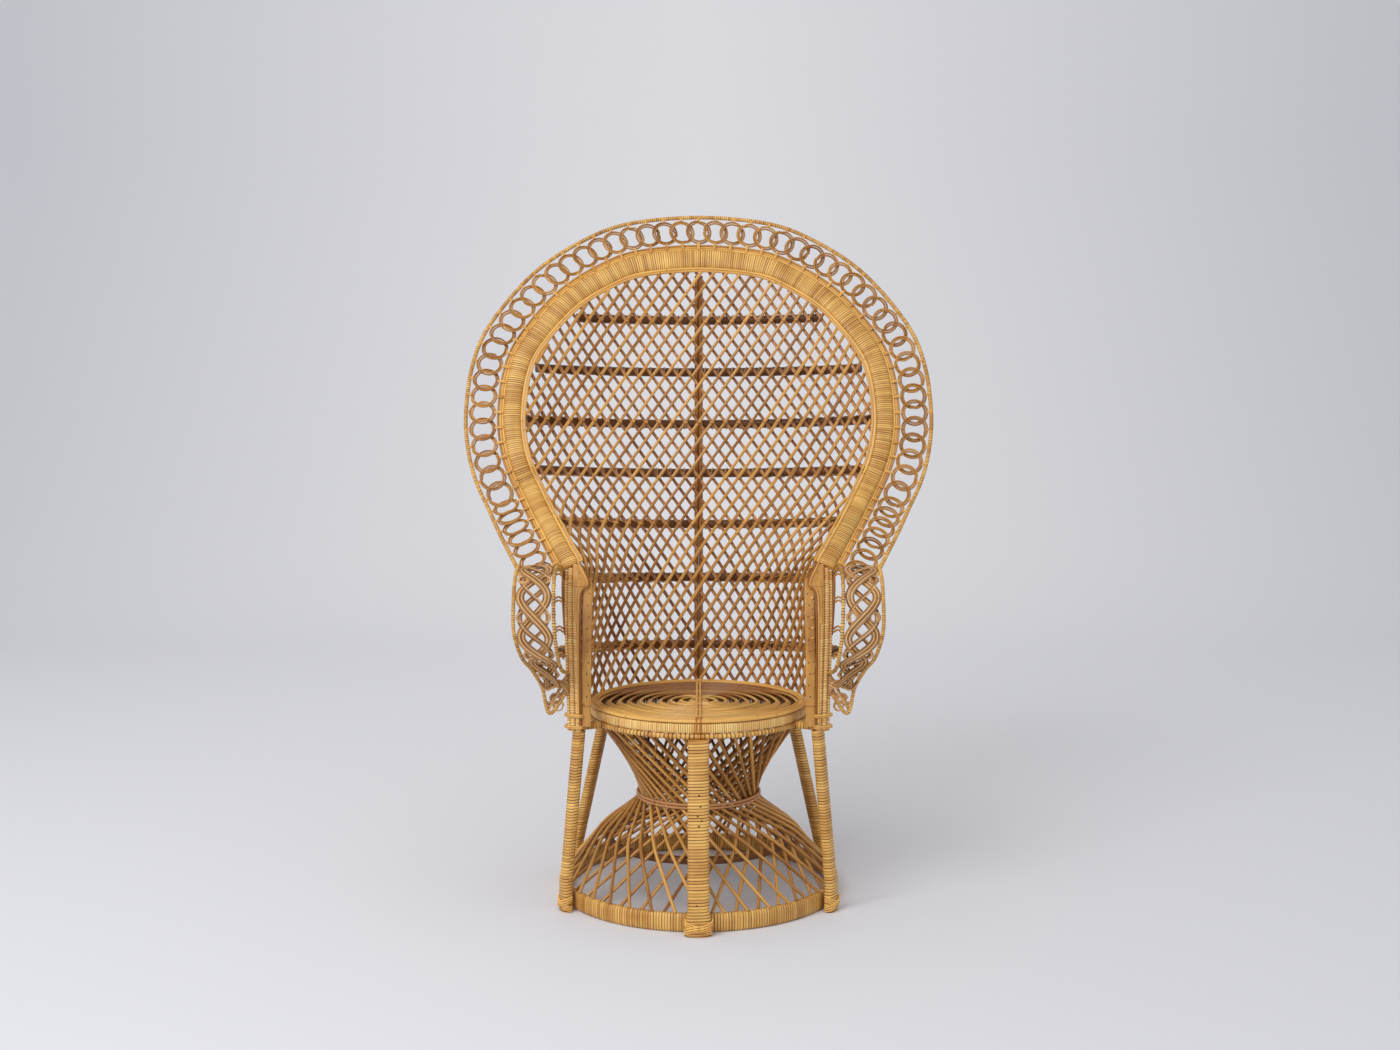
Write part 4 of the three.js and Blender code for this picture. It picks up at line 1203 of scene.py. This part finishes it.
def wound_rod(run, thickness, turn, sides=8, rough=0.0):
    """A rod along a run, wound turn beside turn: rows across it, with a ridge at each turn."""
    course = course_of(run)
    turns = max(round(course[-1] / turn), 1)
    rows = []
    across = (run[min(2, len(run) - 1)] - run[0]).normalized().orthogonal().normalized()
    for i, here in enumerate(evenly(0, course[-1], turns * 4)):
        after, part = point_on(course, here)
        spot = run[after - 1].lerp(run[after], part)
        ahead = (run[min(after + 1, len(run) - 1)] - run[max(after - 2, 0)]).normalized()
        across = (across - ahead * across.dot(ahead)).normalized()
        other = ahead.cross(across)
        radius = thickness / 2 + dip(i) + rough * math.sin(here * rough_waves) * rough_depth
        rows.append([
            spot + across * (radius * math.cos(angle)) + other * (radius * math.sin(angle))
            for angle in once_round(sides)
        ])
    return skin(rows)


rim = wound_rod(rim_run, rim_thickness, rim_turn)
finish_piece([rim], "wound_rim", wrap_rim, ["halo_rings_front"])

# The posts: on each side two rods and a thin one stand on the side leg and carry the end
# of the hoop. They are wound with split cane, the thin one more openly.
post_out = 0.0144
post_line = math.radians(30)
post_foot = 0.369
post_top = 0.69
post_top_gap = 0.002
post_lean_foot = -0.008
post_lean_top = 0.004
post_steps = 40
post_turn = 0.005
open_turn = 0.0062
thin_place = 0.0227
# The posts' wraps are lighter than the others: painted light that lifts the shade among the
# close-set posts and the panel. The last colour is painted shade for the grooves.
post_colours_painted_light = (linear(226, 162, 90), linear(255, 230, 156), linear(166, 106, 52))
wrap_post = wrap_finish("wrap_post", post_turn, *post_colours_painted_light)
wrap_open = wrap_finish("wrap_open", open_turn, *post_colours_painted_light)
posts = (
    ("inner", 0.0, 0.012, post_turn, wrap_post),
    ("outer", 0.0126, 0.012, post_turn, wrap_post),
    ("thin", thin_place, 0.008, open_turn, wrap_open),
)
sides = ((-1, "left"), (1, "right"))


def edge_point(height):
    """The point of the back's edge at a height, found by halving."""
    low, high = crown_row, len(back_rows) - 1
    for _ in range(30):
        middle = (low + high) / 2
        row = row_at(middle)
        if back_point(row, row[3]).z > height:
            low = middle
        else:
            high = middle
    row = row_at(high)
    return back_point(row, row[3])


def post_point(side, place, height):
    spot = edge_point(height)
    share = (height - post_foot) / (post_top - post_foot)
    lean = blend(post_lean_foot, post_lean_top, share)
    return Vector((
        side * (spot.x + post_out + lean + place * math.cos(post_line)),
        spot.y + place * math.sin(post_line),
        spot.z,
    ))


for side, side_name in sides:
    for name, place, thickness, turn, finish in posts:
        node = f"post_{name}_{side_name}"
        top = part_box(node)[1].z - post_top_gap
        foot = post_point(side, place, post_foot + thickness)
        run = [Vector((foot.x, foot.y, post_foot))]
        run += [post_point(side, place, height) for height in evenly(foot.z, top, post_steps)]
        post = wound_rod(run, thickness, turn)
        finish_piece([post], "wound_" + node, finish, [node])

# The panels: a flat brown strip of cane skin covers the lattice's edge beside each post.
# A wider plate caps it, and two canes turn over its head in a hook and run down its outer
# edge. Small nails hold the strip.
panel_width = 0.02
panel_thickness = 0.005
panel_inset = 0.0085
panel_set_back = 0.0009
panel_low = 0.38
panel_top = 0.672
panel_steps = 60
panel_round_share = 0.93
panel_round_depth = 0.5
nail_radius = 0.0016
nail_proud = 0.0018
strip_nails = 10
strip_nail_top = 0.642
strip_nail_pitch = 0.0225
strip_nail_across = -0.004
strip_nail_zigzag = 0.003
strip_nail_front = 0.0026
plate_nails = 2
plate_nail_top = 0.683
plate_nail_pitch = 0.012
plate_nail_across = 0.018
head_front = 0.008
head_thickness = 0.004
head_rows = (
    (0.699, 0.019, 0.024), (0.6934, 0.0155, 0.0301), (0.68, 0.0085, 0.0303),
    (0.668, 0.0025, 0.03), (0.661, 0.0015, 0.0292), (0.657, 0.008, 0.0285),
    (0.6425, 0.0155, 0.0275), (0.626, 0.0165, 0.0262), (0.585, 0.019, 0.0235),
)
hook_cane = 0.0043
hook_pitch = 0.0044
hook_front = 0.0115
hook_leg_spots = 10
hook_leg_top = 0.605
hook_leg_pitch = 0.0245
hook_leg_across = 0.0134
hook_leg_drift = 0.0003
hook_leg_front = 0.0062
hook_leg_lift = 0.004
hook_line = (
    (0.704, 0.0165, 0.8), (0.698, 0.0145, 0.8), (0.686, 0.0075, 0.9), (0.674, 0.0005, 1),
    (0.6665, -0.003, 1), (0.6605, -0.0032, 0.7), (0.6565, 0.0008, 0.1), (0.6555, 0.0065, 0),
    (0.6525, 0.0115, 0.3), (0.6455, 0.0135, 0.8), (0.632, 0.0138, 1),
)


def panel_point(side, height, across, front=0.0):
    spot = edge_point(height)
    return Vector((side * (spot.x - panel_inset + across), spot.y + panel_set_back - front, spot.z))


for side, side_name in sides:
    rows = []
    for share in evenly(0, 1, panel_steps):
        height = blend(panel_low, panel_top, share)
        past = max((share - panel_round_share) / (1 - panel_round_share), 0)
        shrink = 1 - panel_round_depth * past ** 2
        outline = oval(panel_width, panel_thickness, 16, 0.45)
        rows.append([panel_point(side, height, x * shrink, y) for x, y in outline])
    strip = skin(rows, tone=0.45)
    node = "post_panel_" + side_name
    finish_piece([strip], "panel_strip_" + side_name, cane_mid, [node])
    rows = []
    for height, inner, outer in head_rows:
        outline = oval(outer - inner, head_thickness, 12, 0.4)
        across = (outer + inner) / 2
        rows.append([panel_point(side, height, across + x, head_front + y) for x, y in outline])
    finish_piece([skin(rows, tone=0.6)], "panel_head_" + side_name, cane_mid, [])
    canes = []
    for number in range(2):
        shift = hook_pitch * number
        hook = [(height, across + shift * part, hook_front) for height, across, part in hook_line]
        for i in range(hook_leg_spots):
            across = hook_leg_across + shift - hook_leg_drift * i
            front = hook_leg_front + hook_leg_lift * max(1 - i / 3, 0)
            hook.append((hook_leg_top - hook_leg_pitch * i, across, front))
        run = eased([panel_point(side, *spot) for spot in hook], 1)
        canes.append(lay_cane(run, hook_cane, tone=-0.3 + 1.2 * number))
    finish_piece(canes, "panel_hook_" + side_name, cane_mid, [])
    spots = []
    for i in range(strip_nails):
        across = strip_nail_across + strip_nail_zigzag * (i % 2)
        spots.append((strip_nail_top - strip_nail_pitch * i, across, strip_nail_front))
    for i in range(plate_nails):
        height = plate_nail_top - plate_nail_pitch * i
        spots.append((height, plate_nail_across, head_front + nail_proud))
    nails = [nail_at(panel_point(side, *spot), nail_radius) for spot in spots]
    finish_piece(nails, "panel_nails_" + side_name, cane_dark, [])

# The seat ties: a short wound arm joins the foot of the posts to the seat ring, and two
# lashings of bare cane bind the posts together above and below it.
tie_turn = 0.0044
tie_low = 0.369
tie_height = 0.016
tie_width = 0.022
tie_inner = 0.2309
tie_outer = 0.2778
tie_turns = round((tie_outer - tie_inner) / tie_turn)
post_lashing_lows = (0.4, 0.3765)
post_lashing_height = 0.385
post_lashing_cane = 0.0032
post_lashing_pitch = 0.0034
post_lashing_half = (0.0205, 0.0085)
post_lashing_square = 0.8
post_lashing_steps = 28
for side, side_name in sides:
    angle = side * math.radians(60)
    rows = []
    for i, radius in enumerate(evenly(tie_inner, tie_outer, tie_turns * 4)):
        proud = 1 + dip(i) * 4 / tie_height
        rows.append([
            polar(radius, angle, tie_low + tie_height / 2 + y * proud) + sideways(angle) * x * proud
            for x, y in oval(tie_width, tie_height, 16, 0.7)
        ])
    node = "seat_tie_" + side_name
    finish_piece([skin(rows)], "wound_" + node, wrap_leg, [node])
    canes = []
    ends = [post_point(side, place, post_lashing_height) for place in (0.0, thin_place)]
    middle = (ends[0] + ends[1]) / 2
    for low in post_lashing_lows:
        for k in range(2):
            run = []
            for turn in once_round(post_lashing_steps):
                x = squared(math.cos(turn), post_lashing_square) * post_lashing_half[0]
                y = squared(math.sin(turn), post_lashing_square) * post_lashing_half[1]
                spot = Vector((x, y, 0))
                spot.rotate(Matrix.Rotation(side * post_line, 3, "Z"))
                run.append(Vector((middle.x, middle.y, low + post_lashing_pitch * k)) + spot)
            cane = lay_cane(run, post_lashing_cane, closed=True, faces=1, tone=0.5 + 0.15 * k)
            canes.append(cane)
    finish_piece(canes, "post_lashing_" + side_name, cane_light, [])

# The arms: a wound outer rail and an inner rail run forward from the ends of the hoop, roll
# over and come back down to the posts, with a lower rail below them.
arm_height = 0.703
arm_drop = 0.191
arm_back = 0.045
arm_length = 0.2
arm_inner_half = 0.2859
arm_outer_half = 0.3629
arm_rail = 0.008
arm_turn = 0.0046
bead_turn = 0.0058
arm_steps = 90
arm_rail_gap = 0.0004
outer_rail_face = 0.0045
inner_rail_out = 0.0055
post_front_gap = 0.0003
inner_end_height = 0.486
lower_end_height = 0.452
arm_rows_share = (
    (1, 1, 0.3, 0.03), (1, 1, 0.5, 0), (1, 1, 0.76, 0.08), (1, 0.995, 0.94, 0.31),
    (0.995, 0.985, 1, 0.62), (0.96, 0.97, 0.93, 0.88), (0.915, 0.955, 0.76, 1.04),
    (0.87, 0.945, 0.55, 1.27), (0.83, 0.935, 0.5, 1.56),
)
roll_end = 6
tip_row = 8
wrap_arm = wrap_finish("wrap_arm", arm_turn, light_dark, light_light, painted_groove_shade)
wrap_beads = wrap_finish("wrap_beads", bead_turn, linear(138, 82, 28), light_light, painted_groove_shade)


def arm_line(side, inner, first, last):
    """The points of one edge of the arm, from one row of the table to another."""
    points = []
    for outer_share, inner_share, forward, drop in arm_rows_share[first:last + 1]:
        half = inner_share * arm_inner_half if inner else outer_share * arm_outer_half
        y, z = seat_y - arm_back - forward * arm_length, arm_height - drop * arm_drop
        points.append(Vector((side * half, y, z)))
    return points


def curved(points, share):
    """The point at a share of a smooth curve through all the points."""
    last = len(points) - 1
    place = min(max(share, 0), 1) * last
    index = min(int(place), last - 1)
    t = place - index
    one, two = points[index], points[index + 1]
    before = points[index - 1] if index else one * 2 - two
    after = points[index + 2] if index + 2 <= last else two * 2 - one
    pairs = ((before, one), (one, two), (two, after))
    first, middle, final = [max((b - a).length, 1e-6) ** 0.5 for a, b in pairs]
    step = (two - one) / middle
    start = ((one - before) / first - (two - before) / (first + middle) + step) * middle
    end = (step - (after - one) / (middle + final) + (after - two) / final) * middle
    square = (two - one) * 3 - start * 2 - end
    cube = (one - two) * 2 + start + end
    return one + start * t + square * t * t + cube * t * t * t


def hoop_end(side, out, face):
    place, along, facing, outward = hoop_frame(1)
    spot = place + outward * out + facing * face + along * (arm_rail / 2 + arm_rail_gap)
    return Vector((side * spot.x, spot.y, spot.z))


def post_front(side, height):
    return post_point(side, thin_place, height) - Vector((0, arm_rail + post_front_gap, 0))


def lower_line(side):
    return [*arm_line(side, 0, roll_end, tip_row), post_front(side, lower_end_height)]


for side, side_name in sides:
    outer_line = [hoop_end(side, rim_out(1), outer_rail_face), *arm_line(side, 0, 0, roll_end)]
    inner_line = [
        hoop_end(side, band_end(1) + inner_rail_out, 0),
        *arm_line(side, 1, 0, roll_end),
        post_front(side, inner_end_height),
    ]
    for name, points, finish, turn, rough, slot in (
        ("outer", outer_line, wrap_arm, arm_turn, 0, "rattan_light"),
        ("inner", inner_line, wrap_beads, bead_turn, 1, "rattan_mid"),
        ("lower", lower_line(side), wrap_arm, arm_turn, 0, "rattan_mid"),
    ):
        run = [curved(points, share) for share in evenly(0, 1, arm_steps)]
        rail = wound_rod(run, arm_rail, turn, 10, rough)
        node = f"arm_{name}_rail_{side_name}"
        finish_piece([rail], f"arm_{name}_rail_wound_{side_name}", finish, [node])

# The arm lace: four ribbons of thin canes wave across each other between the rails, over
# and under by turns, with curls beside the crossings. Short knotted canes fill the arm's
# lower corner, and bridging canes tie the inner rail to a dark rod beside the posts.
lace_steps = 132
lace_waves = 5
lace_cane = 0.0037
lace_pitch = 0.0035
lace_knot = 0.3
lace_knot_share = 0.16
lace_edge = 0.0122
lace_lift = 0.0024
lace_third_lift = 0.006
lace_ribbons = (("top", 1, 0, 5), ("under", -1, 0, 5), ("third", 1, 0.5, 3), ("fourth", -1, 0.5, 2))
lace_reading = 0.01
curl_radius = 0.0098
curl_opening = 0.0014
curl_closing = 0.0034
curl_ripple = 0.0008
curl_gap = 0.003
curl_points = 40
curl_turns = 1.7
curl_cane = 0.0031
curl_shares = (0.1, 0.3, 0.5, 0.7, 0.9)
low_curls = ((0.3, 0.47), (0.52, 0.452), (0.7, 0.44))
low_curl_share = 0.42
knot_places = (
    (0.05, 0.466, 0.012), (0.2, 0.45, -0.012), (0.34, 0.482, 0.01),
    (0.5, 0.458, -0.01), (0.62, 0.474, 0.012),
)
knot_steps = 14
knot_pitch = 0.0034
knot_slant = 0.002
bridge_rod = 0.0072
bridge_rod_foot = 0.56
bridge_rod_top = 0.702
bridge_rod_place = 0.0312
bridge_rod_lean = 0.006
bridge_rod_steps = 20
bridge_cane = 0.0042
bridge_steps = 8
bridge_half_gap = 0.0035
bridge_rise = 0.006
bridge_drop = 0.018
bridge_highest = 0.685
bridge_end_place = 0.0318
bridge_shares = (0.05, 0.3, 0.5, 0.66, 0.84)
cane_pale = cane_finish("cane_pale", linear(112, 68, 32), linear(238, 188, 126), joint_colour)
curl = []
for i in range(int(curl_points * curl_turns) + 1):
    turn = i / curl_points * math.tau
    radius = curl_radius + curl_opening - curl_closing * i / (curl_points * curl_turns)
    height = curl_ripple * math.sin(turn * 0.6)
    curl.append(level_spot(radius, turn, height))
curl = lay_cane(curl, curl_cane, faces=1)


def lace_place(side, share):
    """The outer and the inner rail at a share of the lace, and the ways across and through."""
    outer_line = arm_line(side, 0, 0, tip_row - 1)
    outer = curved(outer_line, share)
    inner = curved(arm_line(side, 1, 0, tip_row - 1), share)
    ahead = curved(outer_line, min(share + lace_reading, 1))
    back = curved(outer_line, max(share - lace_reading, 0))
    inward = inner - outer
    return outer, inner, inward, (ahead - back).cross(inward).normalized() * side


for side, side_name in sides:
    for name, phase, shift_share, strands in lace_ribbons:
        middles = []
        for share in evenly(0, 1, lace_steps):
            outer, inner, inward, through = lace_place(side, share)
            wave = (share * lace_waves + shift_share) * math.pi
            swing = phase * math.cos(wave) * max(inward.length / 2 - lace_edge, 0)
            over = phase * lace_lift * math.sin(wave) + shift_share * lace_third_lift
            middle = outer.lerp(inner, 0.5) + inward.normalized() * swing + through * over
            middles.append((middle, through))
        canes = []
        for strand in range(strands):
            shift = (strand - (strands - 1) / 2) * lace_pitch
            run = []
            for i, (middle, through) in enumerate(middles):
                ahead = middles[min(i + 1, lace_steps)][0] - middles[max(i - 1, 0)][0]
                close = min((1 - i / lace_steps) / lace_knot_share + lace_knot, 1)
                run.append(middle + ahead.cross(through).normalized() * shift * close)
            tone = (0.95 if strand % 2 else 0.1) + chance.uniform(-0.2, 0.2)
            canes.append(lay_cane(run, lace_cane, faces=1, tone=tone - shift_share * 0.3))
        nodes = [] if shift_share else [f"arm_lace_{name}_{side_name}"]
        finish_piece(canes, f"arm_lace_canes_{name}_{side_name}", cane_pale, nodes)
    curls = []
    for share in curl_shares:
        outer, inner, inward, through = lace_place(side, share)
        inward.normalize()
        along = through.cross(inward)
        for start, way in ((outer, 1), (inner, -1)):
            middle = start + inward * way * (arm_rail / 2 + curl_radius + curl_gap)
            stand = Matrix((inward * way, along, (inward * way).cross(along))).transposed().to_4x4()
            stood = Matrix.Translation(middle) @ stand
            curls.append(copy_of(curl, stood, chance.uniform(0.4, 1)))
    low_rail = lower_line(side)
    upright = Matrix(((1, 0, 0), (0, 0, 1), (0, -1, 0))).transposed().to_4x4()
    for share, height in low_curls:
        middle = curved(low_rail, share).lerp(post_front(side, height), low_curl_share)
        stood = Matrix.Translation(middle) @ upright
        curls.append(copy_of(curl, stood, chance.uniform(0.3, 0.8)))
    knots = []
    for share, height, swing in knot_places:
        line = straight(curved(low_rail, share), post_front(side, height), knot_steps)
        for number in (-1, 0, 1):
            run = []
            for i, spot in enumerate(line):
                rise = swing * math.sin(i / knot_steps * math.tau) + knot_pitch * number
                run.append(spot + Vector((0, knot_slant * number, rise)))
            tone = chance.uniform(0.05, 0.4) + 0.5 * abs(number)
            knots.append(lay_cane(run, lace_cane, faces=1, tone=tone))
    finish_piece(knots, "arm_knot_canes_" + side_name, cane_pale, [])
    run = []
    for share in evenly(0, 1, bridge_rod_steps):
        height = blend(bridge_rod_foot, bridge_rod_top, share)
        place = bridge_rod_place - bridge_rod_lean * (1 - share) ** 2
        run.append(post_point(side, place, height))
    bridges = [lay_cane(run, bridge_rod, tone=-0.3)]
    for share in bridge_shares:
        start = curved(arm_line(side, 1, 0, roll_end), share)
        end = post_point(side, bridge_end_place, min(start.z - bridge_drop, bridge_highest))
        for gap in (-bridge_half_gap, bridge_half_gap):
            run = []
            for i, spot in enumerate(straight(start, end, bridge_steps)):
                rise = gap + bridge_rise * math.sin(i / bridge_steps * math.pi)
                run.append(spot + Vector((0, 0, rise)))
            tone = chance.uniform(0.2, 0.8)
            bridges.append(lay_cane(run, bridge_cane, faces=1, tone=tone))
    finish_piece(bridges, "arm_bridge_canes_" + side_name, cane_mid, [])
    finish_piece(curls, "arm_curls_" + side_name, cane_pale, [])
bpy.data.objects.remove(curl)
